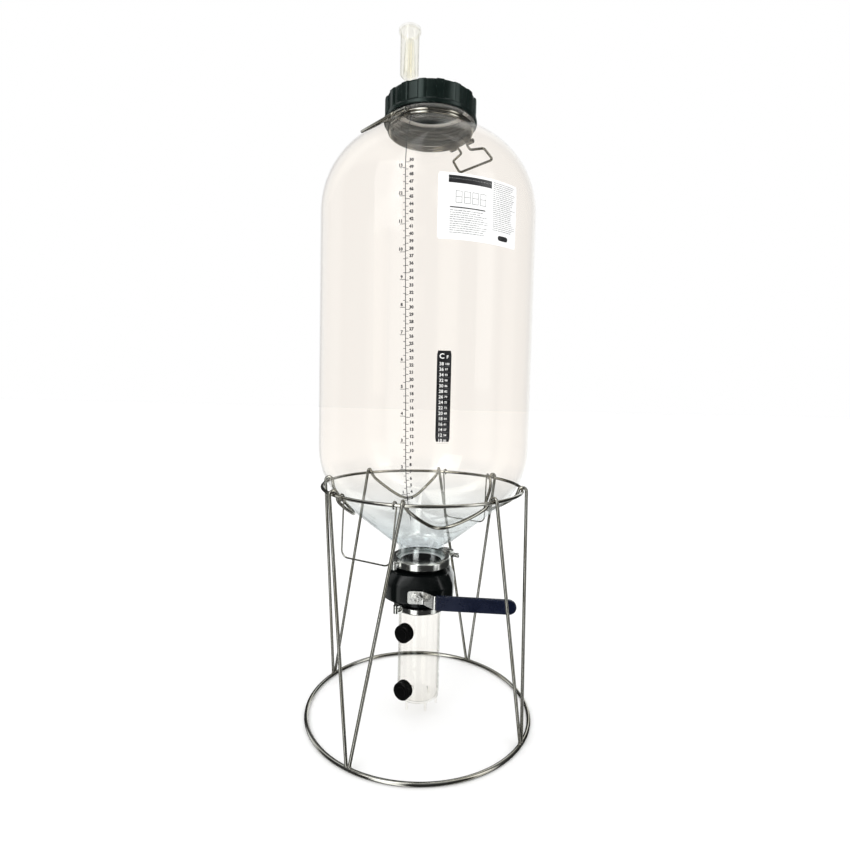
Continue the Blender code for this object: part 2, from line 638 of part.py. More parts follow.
def make_valve_body():
    half, cut = VALVE_HALF, VALVE_CHAMFER
    corners = [(half, half - cut), (half - cut, half), (cut - half, half), (-half, half - cut),
               (-half, cut - half), (cut - half, -half), (half - cut, -half), (half, cut - half)]
    body = prism("valve_body", corners, BULGE_Z[0], BULGE_Z[1], BLACK, PARTS)
    bm = bmesh.new()
    bm.from_mesh(body.data)
    lift = (BULGE_Z[1] - BULGE_Z[0]) / 2
    caps = [f for f in bm.faces if f.normal.z > 0.9]
    raised = bmesh.ops.extrude_face_region(bm, geom=caps)
    top = [v for v in raised["geom"] if isinstance(v, bmesh.types.BMVert)]
    bmesh.ops.delete(bm, geom=caps, context="FACES")
    bmesh.ops.translate(bm, vec=(0, 0, BULGE_Z[2] - BULGE_Z[1]), verts=top)
    shrink = VALVE_TAIL_R / VALVE_HALF
    bmesh.ops.scale(bm, vec=(shrink, shrink, 1.0), verts=top,
                    space=Matrix.Translation((0, 0, -lift)))
    bmesh.ops.dissolve_limit(bm, angle_limit=0.01, verts=bm.verts, edges=bm.edges)
    bm.to_mesh(body.data)
    bm.free()
    soften = body.modifiers.new("soften", "BEVEL")
    soften.width = 3.0 * MM
    soften.segments = 1
    flange = VALVE_TOP - UPPER_FLANGE_THICK
    tail_flange = VALVE_LOW + LOWER_FLANGE_THICK
    tail = 35.6 * MM
    core = [(0.0, VALVE_TOP), (UPPER_FLANGE_R, VALVE_TOP), (UPPER_FLANGE_R, flange),
            (VALVE_NECK_R, flange - 2.4 * MM), (VALVE_NECK_R, VALVE_Z),
            (VALVE_TAIL_R, BULGE_Z[0] + 1.0 * MM), (VALVE_TAIL_R, VALVE_LOW + 7.6 * MM),
            (VALVE_TAIL_R - 1.0 * MM, VALVE_LOW + 6.8 * MM), (tail, VALVE_LOW + 6.4 * MM),
            (tail, tail_flange + 1.2 * MM), (LOWER_FLANGE_R, tail_flange),
            (LOWER_FLANGE_R, VALVE_LOW), (0.0, VALVE_LOW)]
    groove = LINER_R + GAP
    liner_top, liner_low = VALVE_Z + LINER_HALF + GAP, VALVE_Z - LINER_HALF - GAP
    bore = [(0.0, VALVE_TOP + 5 * MM), (VALVE_BORE, VALVE_TOP + 5 * MM), (VALVE_BORE, liner_top),
            (groove, liner_top), (groove, liner_low), (VALVE_BORE, liner_low),
            (VALVE_OUTLET + 2.5 * MM, liner_low - 6.5 * MM),
            (VALVE_OUTLET, liner_low - 11.5 * MM), (VALVE_OUTLET, VALVE_LOW - 5 * MM),
            (0.0, VALVE_LOW - 5 * MM)]
    boolean(body, turned("valve_core", core, None, 24, False, CUTTERS), "UNION")
    boolean(body, turned("valve_bore", bore, None, 24, False, CUTTERS), "DIFFERENCE")
    shaft_hole = cylinder("shaft_hole", BUSH_R + GAP, (0, -90 * MM, VALVE_Z),
                          (0, 52 * MM, VALVE_Z))
    boolean(body, shaft_hole, "DIFFERENCE")


def make_valve_inside():
    """Seat liner, shaft bushes and seal; they stay with the body when the lever turns."""
    liner = turned("valve_liner", ring(DISC_R + GAP, LINER_R, VALVE_Z - LINER_HALF,
                                       VALVE_Z + LINER_HALF), SILICONE, 24)
    boolean(liner, cylinder("liner_hole", SHAFT_R + GAP, (0, -60 * MM, VALVE_Z),
                            (0, 60 * MM, VALVE_Z), segments=12), "DIFFERENCE")
    for name, span, surface in (("stem_bush_front", FRONT_BUSH, BLACK),
                                ("stem_bush_back", BACK_BUSH, BLACK),
                                ("stem_seal", SHAFT_SEAL, RUBBER)):
        bush = turned(name, ring(SHAFT_R + GAP, BUSH_R, *span), surface, 12)
        along_y(bush, VALVE_Z)


def lever_outline():
    """Plan of a strip that runs along X and steps outwards between two straights."""
    step, rise = LEVER_STEP, LEVER_OFFSET
    start, end = LEVER_START, LEVER_TIP - 6.0 * MM
    inner, outer = LEVER_Y, LEVER_Y - LEVER_PLATE
    return [(start, inner), (step, inner), (step + rise, inner - rise), (end, inner - rise),
            (end, outer - rise), (step + rise - 1.0 * MM, outer - rise),
            (step - 1.0 * MM, outer), (start, outer)]


def make_lever():
    back, front = SHAFT_SPAN
    stem = turned("valve_stem", [(0.0, front), (SHAFT_R - 0.8 * MM, front),
                                 (SHAFT_R, front - 0.8 * MM), (SHAFT_R, back), (0.0, back)],
                  STEEL, 16, closed=False)
    along_y(stem, VALVE_Z)
    half, rim = DISC_THICK / 2, DISC_R - 1.5 * MM
    disc = turned("valve_disc", [(0.0, half), (rim, half), (DISC_R, 1.0 * MM),
                                 (DISC_R, -1.0 * MM), (rim, -half), (0.0, -half)],
                  BLACK, 24, closed=False)
    disc.location = (0, 0, VALVE_Z)
    hub = cylinder("disc_hub", 8.0 * MM, (0, -33 * MM, VALVE_Z), (0, 33 * MM, VALVE_Z),
                   segments=16)
    boolean(disc, hub, "UNION")
    boolean(disc, cylinder("disc_hole", SHAFT_R + GAP, (0, -50 * MM, VALVE_Z),
                           (0, 50 * MM, VALVE_Z), segments=12), "DIFFERENCE")
    washer = turned("stem_washer", ring(SHAFT_R + GAP, 9.5 * MM, *WASHER), STEEL, 16)
    along_y(washer, VALVE_Z)
    plate = prism("lever_plate", lever_outline(), VALVE_Z - LEVER_HALF, VALVE_Z + LEVER_HALF,
                  STEEL, PARTS)
    boolean(plate, cylinder("lever_hole", SHAFT_R + GAP, (0, -80 * MM, VALVE_Z),
                            (0, -50 * MM, VALVE_Z), segments=16), "DIFFERENCE")
    nut_y = LEVER_Y - LEVER_PLATE - GAP
    nut = cylinder("stem_nut", NUT_R, (0, nut_y, VALVE_Z), (0, nut_y - NUT_HEIGHT, VALVE_Z),
                   STEEL, PARTS, 6)
    boolean(nut, cylinder("nut_bore", SHAFT_R + GAP, (0, -80 * MM, VALVE_Z),
                          (0, -50 * MM, VALVE_Z), segments=16), "DIFFERENCE")
    sleeve = make_sleeve()
    hang(pivot("valve_axis", (0.0, 0.0, VALVE_Z)), stem, disc, washer, plate, nut, sleeve)


def make_sleeve():
    """A dipped vinyl grip: a blunt bar with a pocket for the lever's end."""
    middle = LEVER_Y - LEVER_OFFSET - LEVER_PLATE / 2
    outline = [(SLEEVE_START, -SLEEVE_HALF)]
    outline += arc((LEVER_TIP - SLEEVE_HALF, 0.0), SLEEVE_HALF, -pi / 2, pi / 2, 8)
    outline += [(SLEEVE_START, SLEEVE_HALF)]
    sleeve = prism("lever_sleeve", outline, -SLEEVE_THICK, SLEEVE_THICK, VINYL, PARTS)
    sleeve.rotation_euler = (pi / 2, 0.0, 0.0)
    sleeve.location = (0.0, middle, VALVE_Z)
    deep = LEVER_PLATE / 2 + GAP
    high = LEVER_HALF + GAP
    pocket = box("sleeve_pocket", (SLEEVE_START - 20 * MM, middle - deep, VALVE_Z - high),
                 (LEVER_TIP - 6.0 * MM + GAP, middle + deep, VALVE_Z + high))
    boolean(sleeve, pocket, "DIFFERENCE")
    return sleeve


def make_valve():
    """The valve is modelled with its stem on -Y and then turned a little about Z."""
    before = list(bpy.data.objects)
    make_valve_body()
    make_valve_inside()
    make_lever()
    made = [obj for obj in bpy.data.objects if obj not in before and obj.parent is None]
    frame = pivot("valve_frame", (0.0, 0.0, 0.0), (0.0, 0.0, VALVE_TURN))
    for obj in made:
        obj.parent = frame


# ============================== ferrule gaskets and clamps ==============================

def make_gaskets():
    turned("outlet_gasket", ring(OUTLET_BORE, UPPER_FLANGE_R - 1.0 * MM, UPPER_CLAMP_Z - 0.45 * MM,
                                 UPPER_CLAMP_Z + 1.15 * MM), SILICONE, 24)
    turned("jar_gasket", ring(VALVE_OUTLET, LOWER_FLANGE_R - 0.8 * MM, JAR_TOP + GAP,
                              VALVE_LOW - GAP), SILICONE, 24)


def hinge_knuckle(radius, side):
    """Plan of a clamp half's hinge lug; side is +1 for the half on +Y, -1 for the other."""
    centre, inner = radius + HINGE_OUT, radius - 3.0 * MM
    points = [(-inner, 1.4 * MM), (-inner, 6.0 * MM), (-centre, 5.0 * MM)]
    points += [(-centre + x, y) for x, y in arc((0, 0), 5.0 * MM, pi / 2, 2 * pi, 9)][1:]
    return [(x, y * side) for x, y in points]


def bolt_lug(radius, side):
    """Plan of the lug at the bolt; the wing nut's side ends in an arc about the bolt pin."""
    inner, outer = radius - 3.5 * MM, radius + LUG_OUT
    pin_x, pin_y = radius + BOLT_PIN[0], BOLT_PIN[1]
    if side < 0:
        return [(inner, -1.4 * MM), (inner, -6.0 * MM), (radius + 2.0 * MM, -15.0 * MM),
                (outer, -15.0 * MM), (outer, -1.4 * MM)]
    steps = 6
    first = atan2(sqrt(NUT_FACE ** 2 - (outer - pin_x) ** 2), outer - pin_x)
    last = atan2(sqrt(NUT_FACE ** 2 - (inner - pin_x) ** 2), inner - pin_x)
    last = min(last, pi - asin(10.0 * MM / NUT_FACE))
    curve = arc((pin_x, pin_y), NUT_FACE, first, last, steps)
    return [(inner, 1.4 * MM), (outer, 1.4 * MM)] + curve + [(inner, curve[-1][1])]


def make_clamp(prefix, band, groove, flange_half, z, azimuth, tip_over=0.0):
    """A hinged two-piece ferrule clamp with a swing bolt and a wing nut.

    It is modelled with its bolt on +X, may be tipped over about X, and then turned.
    """
    radius, lip, half_height = band
    frame = pivot(prefix + "_frame", (0.0, 0.0, z), (tip_over, 0.0, azimuth))
    bevel = min(2.5 * MM, half_height / 3)
    section = [(radius - bevel, half_height), (radius, half_height - bevel),
               (radius, bevel - half_height), (radius - bevel, -half_height),
               (lip, -half_height), (lip, -flange_half - 1.0 * MM),
               (groove, -flange_half - 0.4 * MM), (groove, flange_half + 0.4 * MM),
               (lip, flange_half + 1.0 * MM), (lip, half_height)]
    pin_x, pin_y = radius + BOLT_PIN[0], BOLT_PIN[1]
    hinge_x = -(radius + HINGE_OUT)
    wide = 2 * radius
    inner = SLOT_HALF - GAP
    children = []
    for label, side in (("left", 1), ("right", -1)):
        name = f"{prefix}_{label}"
        half = turned(name, section, CLAMP_STEEL, 24)
        other = sorted((-side * wide, side * 1.2 * MM))
        away = box(name + "_away", (-wide, other[0], -wide), (wide, other[1], wide))
        boolean(half, away, "DIFFERENCE")
        lug = prism(name + "_lug", bolt_lug(radius, side), -LUG_HALF, LUG_HALF)
        boolean(half, lug, "UNION")
        spans = [(-inner, inner)] if side > 0 else [(SLOT_HALF, LUG_HALF), (-LUG_HALF, -SLOT_HALF)]
        for i, span in enumerate(spans):
            knuckle = prism(f"{name}_knuckle_{i + 1}", hinge_knuckle(radius, side), *span)
            boolean(half, knuckle, "UNION")
            children.append(knuckle)
        slot = box(name + "_slot", (radius + 4.5 * MM, -wide, -SLOT_HALF), (wide, wide, SLOT_HALF))
        boolean(half, slot, "DIFFERENCE")
        hinge_hole = cylinder(name + "_hinge_hole", PIN_R + GAP, (hinge_x, 0, -wide),
                              (hinge_x, 0, wide), segments=12)
        boolean(half, hinge_hole, "DIFFERENCE")
        children += [half, away, lug, slot, hinge_hole]
        if side < 0:
            pin_hole = cylinder(name + "_pin_hole", PIN_R + GAP, (pin_x, pin_y, -wide),
                                (pin_x, pin_y, wide), segments=12)
            boolean(half, pin_hole, "DIFFERENCE")
            children.append(pin_hole)
    reach = LUG_HALF + PIN_OVERHANG
    for name, x, y in (("_hinge_pin", hinge_x, 0.0), ("_bolt_pin", pin_x, pin_y)):
        children.append(cylinder(prefix + name, PIN_R, (x, y, -reach), (x, y, reach),
                                 CLAMP_STEEL, PARTS, 12))
    for child in children:
        child.parent = frame
    swing = pivot(prefix + "_bolt_axis", (pin_x, pin_y, 0.0))
    swing.parent = frame
    bolt, nut, cutters = make_bolt(prefix)
    for child in (bolt, nut, *cutters):
        child.parent = swing


def make_bolt(prefix):
    """The swing bolt and its wing nut, about the bolt pin at the origin, shank on +Y."""
    eye = SLOT_HALF - GAP
    shank = 3.0 * MM
    bolt = cylinder(prefix + "_bolt", shank, (0, 3.5 * MM, 0), (0, 36.0 * MM, 0),
                    CLAMP_STEEL, PARTS, 12)
    eye_ring = cylinder(prefix + "_bolt_eye", 5.2 * MM, (0, 0, -eye), (0, 0, eye), segments=16)
    eye_hole = cylinder(prefix + "_eye_hole", PIN_R + GAP, (0, 0, -20 * MM), (0, 0, 20 * MM),
                        segments=12)
    boolean(bolt, eye_ring, "UNION")
    boolean(bolt, eye_hole, "DIFFERENCE")
    face = NUT_FACE + 0.4 * MM
    nut = cylinder(prefix + "_wing_nut", 6.0 * MM, (0, face, 0), (0, face + 8.0 * MM, 0),
                   CLAMP_STEEL, PARTS, 12)
    wing_low, wing_high, wing_out = face + 1.6 * MM, face + 6.4 * MM, 12.0 * MM
    right = [(4.5 * MM, wing_low), (wing_out, wing_low + 3 * MM), (wing_out, wing_high + 3 * MM),
             (4.5 * MM, wing_high)]
    left = [(-x, y) for x, y in reversed(right)]
    wing = prism(prefix + "_wings", right + left, -1.3 * MM, 1.3 * MM)
    nut_hole = cylinder(prefix + "_nut_hole", shank + GAP, (0, 0, 0), (0, 50 * MM, 0),
                        segments=12)
    boolean(nut, wing, "UNION")
    boolean(nut, nut_hole, "DIFFERENCE")
    return bolt, nut, (eye_ring, eye_hole, wing, nut_hole)


def make_clamps():
    make_clamp("upper_clamp", UPPER_BAND, UPPER_FLANGE_R + 0.7 * MM, 5.3 * MM,
               UPPER_CLAMP_Z, CLAMP_AZIMUTH[0], pi)
    make_clamp("lower_clamp", LOWER_BAND, LOWER_FLANGE_R + 0.6 * MM, 3.4 * MM,
               LOWER_CLAMP_Z, CLAMP_AZIMUTH[1])


# =================================== collection jar =====================================

def port_place(obj, z):
    """Turn a piece modelled about Z so that its +Z points out of the jar at a port."""
    out = polar(1.0, PORT_AZIMUTH, 0.0)
    obj.rotation_euler = out.to_track_quat("Z", "Y").to_euler()
    obj.location = (0.0, 0.0, z)
    return obj


def make_jar():
    inside = JAR_R - JAR_WALL
    flange_low = JAR_TOP - LOWER_FLANGE_THICK
    throat = JAR_R - 1.6 * MM
    outer = [(LOWER_FLANGE_R, JAR_TOP), (LOWER_FLANGE_R, flange_low),
             (throat, flange_low - 0.9 * MM), (throat, JAR_TOP - 6.5 * MM),
             (JAR_R, JAR_TOP - 9.0 * MM), (JAR_R, JAR_FLOOR + 4.0 * MM),
             (JAR_R - 3.5 * MM, JAR_FLOOR), (0.0, JAR_FLOOR)]
    inner = [(0.0, JAR_FLOOR + 2.4 * MM), (inside - 4.0 * MM, JAR_FLOOR + 2.6 * MM),
             (inside, JAR_FLOOR + 6.0 * MM), (inside, JAR_TOP - 10.0 * MM),
             (VALVE_OUTLET, JAR_TOP - 6.0 * MM), (VALVE_OUTLET, JAR_TOP)]
    jar = turned("collection_jar", inner + outer, CLEAR, 24, closed=False)
    for i in range(JAR_FEET):
        azimuth = PORT_AZIMUTH - radians(6.0) + i * 2 * pi / JAR_FEET
        centre = JAR_R - 2.2 * MM - JAR_FOOT_R
        foot = cylinder(f"jar_foot_{i + 1}", JAR_FOOT_R, polar(centre, azimuth, JAR_FOOT_Z),
                        polar(centre, azimuth, JAR_FLOOR + 1.5 * MM), segments=6)
        boolean(jar, foot, "UNION")
    for label, z in zip(("upper", "lower"), PORT_Z):
        spout = port_place(cylinder(f"port_spout_{label}", PORT_R, (0, 0, throat),
                                    (0, 0, PORT_END), segments=16), z)
        passage = port_place(cylinder(f"port_passage_{label}", PORT_R - 2.4 * MM,
                                      (0, 0, 20 * MM), (0, 0, PORT_END + 20 * MM),
                                      segments=16), z)
        boolean(jar, spout, "UNION")
        boolean(jar, passage, "DIFFERENCE")
        make_port_cap(label, z)


def make_port_cap(label, z):
    low, high = PORT_CAP_SPAN
    bore = PORT_R + 0.4 * MM
    liner_low = PORT_END + GAP
    plate = liner_low + 1.2 * MM + GAP
    profile = [(0.0, high), (PORT_CAP_R - 1.5 * MM, high), (PORT_CAP_R, high - 1.2 * MM),
               (PORT_CAP_R, low), (bore, low), (bore, plate), (0.0, plate)]
    cap = port_place(turned(f"port_cap_{label}", profile, BLACK, 20, closed=False), z)
    disc = [(0.0, liner_low + 1.2 * MM), (PORT_R - 0.4 * MM, liner_low + 1.2 * MM),
            (PORT_R - 0.4 * MM, liner_low), (0.0, liner_low)]
    liner = port_place(turned(f"port_liner_{label}", disc, SILICONE, 12, closed=False), z)
    hang(pivot(f"port_axis_{label}", polar(low, PORT_AZIMUTH, z)), cap, liner)


# ====================================== assembly ========================================

def make_tank_trim():
    make_wrap("instruction_label", radians(294.7), 130.0 * MM, 778.0 * MM, 868.0 * MM, PAPER)
    make_wrap("thermometer_strip", radians(278.5), 20.5 * MM, 497.0 * MM, 625.0 * MM, STRIP)


make_stand()
make_drop_handle("stand_handle_back", DROP_AZIMUTH[0], DROP_TAPER[0])
make_drop_handle("stand_handle_front", DROP_AZIMUTH[1], DROP_TAPER[1])
make_tank()
make_tank_trim()
make_collar()
make_carry_handle("carry_handle_back", PIVOT_AZIMUTH)
make_carry_handle("carry_handle_front", PIVOT_AZIMUTH + pi)
make_top()
make_gaskets()
make_clamps()
make_valve()
make_jar()
bpy.context.view_layer.update()
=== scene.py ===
"""Looks of a conical fermenter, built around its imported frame: metres, +Z up, front on -Y."""
import json
from math import asin, atan2, cos, pi, radians, sin, sqrt, tan
from random import Random

import bmesh
import bpy
from mathutils import Matrix, Vector


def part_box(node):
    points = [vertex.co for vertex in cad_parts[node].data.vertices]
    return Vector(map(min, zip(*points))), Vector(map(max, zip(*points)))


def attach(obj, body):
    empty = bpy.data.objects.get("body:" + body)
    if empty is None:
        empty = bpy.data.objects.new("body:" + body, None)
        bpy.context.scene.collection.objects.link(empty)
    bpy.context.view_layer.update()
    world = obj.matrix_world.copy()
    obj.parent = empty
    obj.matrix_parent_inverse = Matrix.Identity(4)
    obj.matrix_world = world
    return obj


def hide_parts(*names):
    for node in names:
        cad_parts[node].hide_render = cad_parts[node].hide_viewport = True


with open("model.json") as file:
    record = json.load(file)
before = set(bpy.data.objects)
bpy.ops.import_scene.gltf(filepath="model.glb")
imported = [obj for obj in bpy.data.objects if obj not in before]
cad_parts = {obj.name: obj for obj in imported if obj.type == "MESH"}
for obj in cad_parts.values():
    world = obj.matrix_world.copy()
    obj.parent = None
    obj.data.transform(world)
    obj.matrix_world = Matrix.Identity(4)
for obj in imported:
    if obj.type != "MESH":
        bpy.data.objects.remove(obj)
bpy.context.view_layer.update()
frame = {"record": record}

MM = 0.001
RECORD = frame["record"]
BODY_OF = {node: body for body, nodes in RECORD["behaviour"]["bodies"].items() for node in nodes}

# --- tank ---------------------------------------------------------------------
TANK_LOW, TANK_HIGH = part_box("tank")
TANK_R = TANK_HIGH.x               # outer radius of the straight wall
TANK_WALL = 1.5 * MM
DOME_ARC = 136.7 * MM              # radius of the shoulder arc
DOME_Z = 857.8 * MM
HEEL_ARC = 130.2 * MM              # radius of the arc between wall and cone
HEEL_Z = 472.3 * MM
CONE_SLOPE = radians(39.3)
CONE_END = (56.6 * MM, 310.5 * MM)
NECK_R = 66.0 * MM
NECK_BORE = 61.5 * MM
NECK_SHANK_R = 67.0 * MM
SUPPORT_R = 76.0 * MM
SUPPORT_Z = 1008.7 * MM
SHANK_LOW_Z = 993.5 * MM
OUTLET_R = 40.0 * MM
OUTLET_BORE = 36.0 * MM
TANK_SIDES = 128

# --- litre scale, label and thermometer printed or stuck on the wall -------------
SCALE_AZIMUTH = radians(262.15)     # of the line at SCALE_FOOT
SCALE_FOOT = 463.0 * MM
SCALE_SLANT = -0.0212              # sideways run of the line for each rise
LITRE_Z = 10.02 * MM               # height of one litre on the straight wall
SCALE_ZERO = 380.3 * MM            # height that the even scale would start from
LITRES = 50
GALLON = 3.785                     # litres
LABEL_AZIMUTH = radians(294.7)
LABEL_HALF = 65.0 * MM
STRIP_AZIMUTH = radians(278.5)

# --- stand ------------------------------------------------------------------------
STAND_RING_R = 195.8 * MM
STAND_ROD = 3.5 * MM
TOP_RING_R = 172.4 * MM
TOP_RING_Z = 402.7 * MM
WIRE = 2.75 * MM
GAP = 0.3 * MM
V_AZIMUTH = radians(58.5)
LEG_SPREAD = (radians(20.5), radians(20.5), radians(22.3), radians(19.8))
LEG_TOE = radians(0.87)
HOOK_R = (2 * WIRE + 2 * GAP) / cos(pi / 8)
CRADLE_LOW_Z = 357.0 * MM
CRADLE_GAP = 0.6 * MM
DROP_WIRE = 1.3 * MM
DROP_TAPER = ((4.0 * MM, 4.0 * MM), (0.0, 6.0 * MM))  # each side leans in, back and front
DROP_HALF_ANGLE = radians(16.1)
DROP_AZIMUTH = (radians(58.5), radians(240.6))
DROP_LENGTH = 92.0 * MM
EYE_R = WIRE + 1.1 * MM + DROP_WIRE

# --- collar and carry handles ---------------------------------------------------------
COLLAR_WIRE = 2.2 * MM
COLLAR_R = NECK_SHANK_R + GAP + COLLAR_WIRE
COLLAR_Z = (1000.9 * MM, 1005.8 * MM)
PIVOT_AZIMUTH = radians(42.0)
PIVOT_Z = 1003.4 * MM
PIVOT_R = 75.9 * MM
PIVOT_TUBE_R = 4.0 * MM
PIVOT_TUBE_SPAN = (15.6 * MM, 27.0 * MM)
HANDLE_WIRE = 2.1 * MM
HANDLE_DROOP = radians(34.0)
HANDLE_REACH = 45.0 * MM
HANDLE_SHOULDER = (38.0 * MM, 20.0 * MM)
HANDLE_HALF_GRIP = 41.0 * MM
HANDLE_BEND = 5.0 * MM

# --- lid and airlock --------------------------------------------------------------------
LID_LOW, LID_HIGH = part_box("lid")
LID_FLANGE_R = 78.0 * MM
LID_R = 74.0 * MM
LID_BORE = 69.4 * MM
LID_PLATE = 5.2 * MM
LID_RIDGES = 16
RIDGE_PROUD = 2.5 * MM
RIDGE_SHARE = 0.37                 # part of the pitch that a ridge takes
AIRLOCK_X = -37.0 * MM
STEM_R = 5.0 * MM
AIRLOCK_R = 15.7 * MM
AIRLOCK_BASE = 1091.6 * MM
AIRLOCK_RIM = 1162.0 * MM
AIRLOCK_WALL = 1.3 * MM
AIRLOCK_TOP = 1167.0 * MM
AIRLOCK_CAP_R = 18.6 * MM
BUBBLER_R = 10.5 * MM

# --- valve --------------------------------------------------------------------------------
VALVE_Z = 226.0 * MM
VALVE_LOW, VALVE_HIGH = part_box("valve_body")
VALVE_BORE = 36.4 * MM
VALVE_OUTLET = 31.5 * MM
VALVE_HALF = 59.0 * MM
VALVE_TURN = radians(-5.0)
VALVE_NODES = ("valve_body", "valve_liner", "stem_bush_front", "stem_bush_back", "stem_seal", "valve_stem",
               "valve_disc", "stem_washer", "lever_plate", "stem_nut", "lever_sleeve")
VALVE_CHAMFER = 21.0 * MM
DISC_R = 35.8 * MM
LINER_R = 39.7 * MM
LINER_HALF = 11.2 * MM
SHAFT_R = 5.0 * MM
BUSH_R = 8.0 * MM
LEVER_PLATE = 3.0 * MM
LEVER_HALF = 10.8 * MM
LEVER_Y = -61.3 * MM
LEVER_OFFSET = 18.0 * MM
LEVER_START = -15.5 * MM
LEVER_STEP = 12.0 * MM
LEVER_TIP = 162.0 * MM
NUT_R = 9.4 * MM
NUT_HEIGHT = 6.2 * MM
SLEEVE_START = 32.0 * MM
SLEEVE_HALF = 12.0 * MM
SLEEVE_THICK = 4.2 * MM

# --- clamps ---------------------------------------------------------------------------------
UPPER_FLANGE_R = 45.5 * MM
LOWER_FLANGE_R = 38.75 * MM
UPPER_CLAMP_Z = 271.5 * MM
LOWER_CLAMP_Z = 192.9 * MM
CLAMP_AZIMUTH = (radians(40.0), radians(38.0))
PIN_R = 2.0 * MM
LUG_HALF = 7.0 * MM
SLOT_HALF = 3.4 * MM
NUT_FACE = 17.0 * MM

# --- jar ----------------------------------------------------------------------------------------
JAR_R = 37.0 * MM
JAR_WALL = 2.0 * MM
JAR_TOP = LOWER_CLAMP_Z - 1.15 * MM
JAR_FLOOR = 26.0 * MM
JAR_FOOT_Z = 12.0 * MM
JAR_FEET = 6
PORT_AZIMUTH = radians(240.0)
PORT_Z = (157.0 * MM, 57.0 * MM)
PORT_R = 12.2 * MM
PORT_END = 56.0 * MM
PORT_CAP_R = 15.3 * MM
PORT_CAP_SPAN = (45.0 * MM, 59.4 * MM)

# --- camera ---------------------------------------------------------------------------------------
CAMERA_DISTANCE = 0.9396
CAMERA_HEIGHT = 0.5693
CAMERA_PITCH = radians(3.682)      # below the horizon
CAMERA_YAW = radians(0.123)
CAMERA_ROLL = radians(1.27)
CAMERA_LENS = 22.945               # millimetres, on a 36 mm sensor


# ====================================== materials ==================================================

def node(tree, kind, inputs=None, **settings):
    """A new shader node; an input that is another node's output is linked."""
    made = tree.nodes.new("ShaderNode" + kind)
    for key, value in settings.items():
        setattr(made, key, value)
    for key, value in (inputs or {}).items():
        if isinstance(value, bpy.types.NodeSocket):
            tree.links.new(value, made.inputs[key])
        else:
            made.inputs[key].default_value = value
    return made


def noise(tree, scale, detail=3.0, stretch=(1.0, 1.0, 1.0), rough=0.5):
    place = node(tree, "TexCoord").outputs["Object"]
    spread = node(tree, "Mapping", {"Vector": place, "Scale": stretch}).outputs["Vector"]
    values = {"Vector": spread, "Scale": scale, "Detail": detail, "Roughness": rough}
    return node(tree, "TexNoise", values).outputs["Fac"]


def between(tree, value, low, high, start=0.3, end=0.7):
    values = {"Value": value, "From Min": start, "From Max": end, "To Min": low, "To Max": high}
    return node(tree, "MapRange", values).outputs["Result"]


def colours(tree, value, *stops):
    """A colour ramp; each stop is (position, colour)."""
    ramp = node(tree, "ValToRGB", {"Fac": value})
    elements = ramp.color_ramp.elements
    while len(elements) < len(stops):
        elements.new(0.5)
    for element, (position, colour) in zip(elements, stops):
        element.position = position
        element.color = (*colour, 1.0)
    return ramp.outputs["Color"]


def bump(tree, height, depth, strength=1.0):
    return node(tree, "Bump", {"Height": height, "Distance": depth, "Strength": strength}).outputs["Normal"]


def new_surface(name):
    surface = bpy.data.materials.new(name)
    surface.use_nodes = True
    return surface, surface.node_tree, surface.node_tree.nodes["Principled BSDF"]


def link(tree, shader, **values):
    for key, value in values.items():
        tree.links.new(value, shader.inputs[key.replace("_", " ")])


def steel(name, bright, stained, rough, stretch, scale=90.0, depth=0.04 * MM):
    """Bare stainless steel with drawing lines, a faint stain and uneven polish."""
    surface, tree, shader = new_surface(name)
    shader.inputs["Metallic"].default_value = 1.0
    stain = noise(tree, 14.0, 4.0)
    lines = noise(tree, scale, 5.0, stretch, 0.6)
    link(tree, shader, Base_Color=colours(tree, stain, (0.35, bright), (0.72, stained)),
         Roughness=between(tree, lines, rough - 0.06, rough + 0.09),
         Normal=bump(tree, lines, depth))
    return surface


def moulded(name, dark, pale, rough, grain=420.0, depth=0.03 * MM, coat=0.0, shine=0.5, tone=(1.0, 1.0, 1.0)):
    """Moulded plastic or rubber: a fine grain, with handling marks that change its gloss."""
    surface, tree, shader = new_surface(name)
    marks = noise(tree, 26.0, 5.0, rough=0.65)
    fine = noise(tree, grain, 3.0)
    link(tree, shader, Base_Color=colours(tree, marks, (0.3, dark), (0.75, pale)),
         Roughness=between(tree, marks, rough - 0.07, rough + 0.1),
         Normal=bump(tree, fine, depth))
    shader.inputs["Specular IOR Level"].default_value = shine
    shader.inputs["Specular Tint"].default_value = (*tone, 1.0)
    shader.inputs["Coat Weight"].default_value = coat
    shader.inputs["Coat Roughness"].default_value = 0.12
    return surface


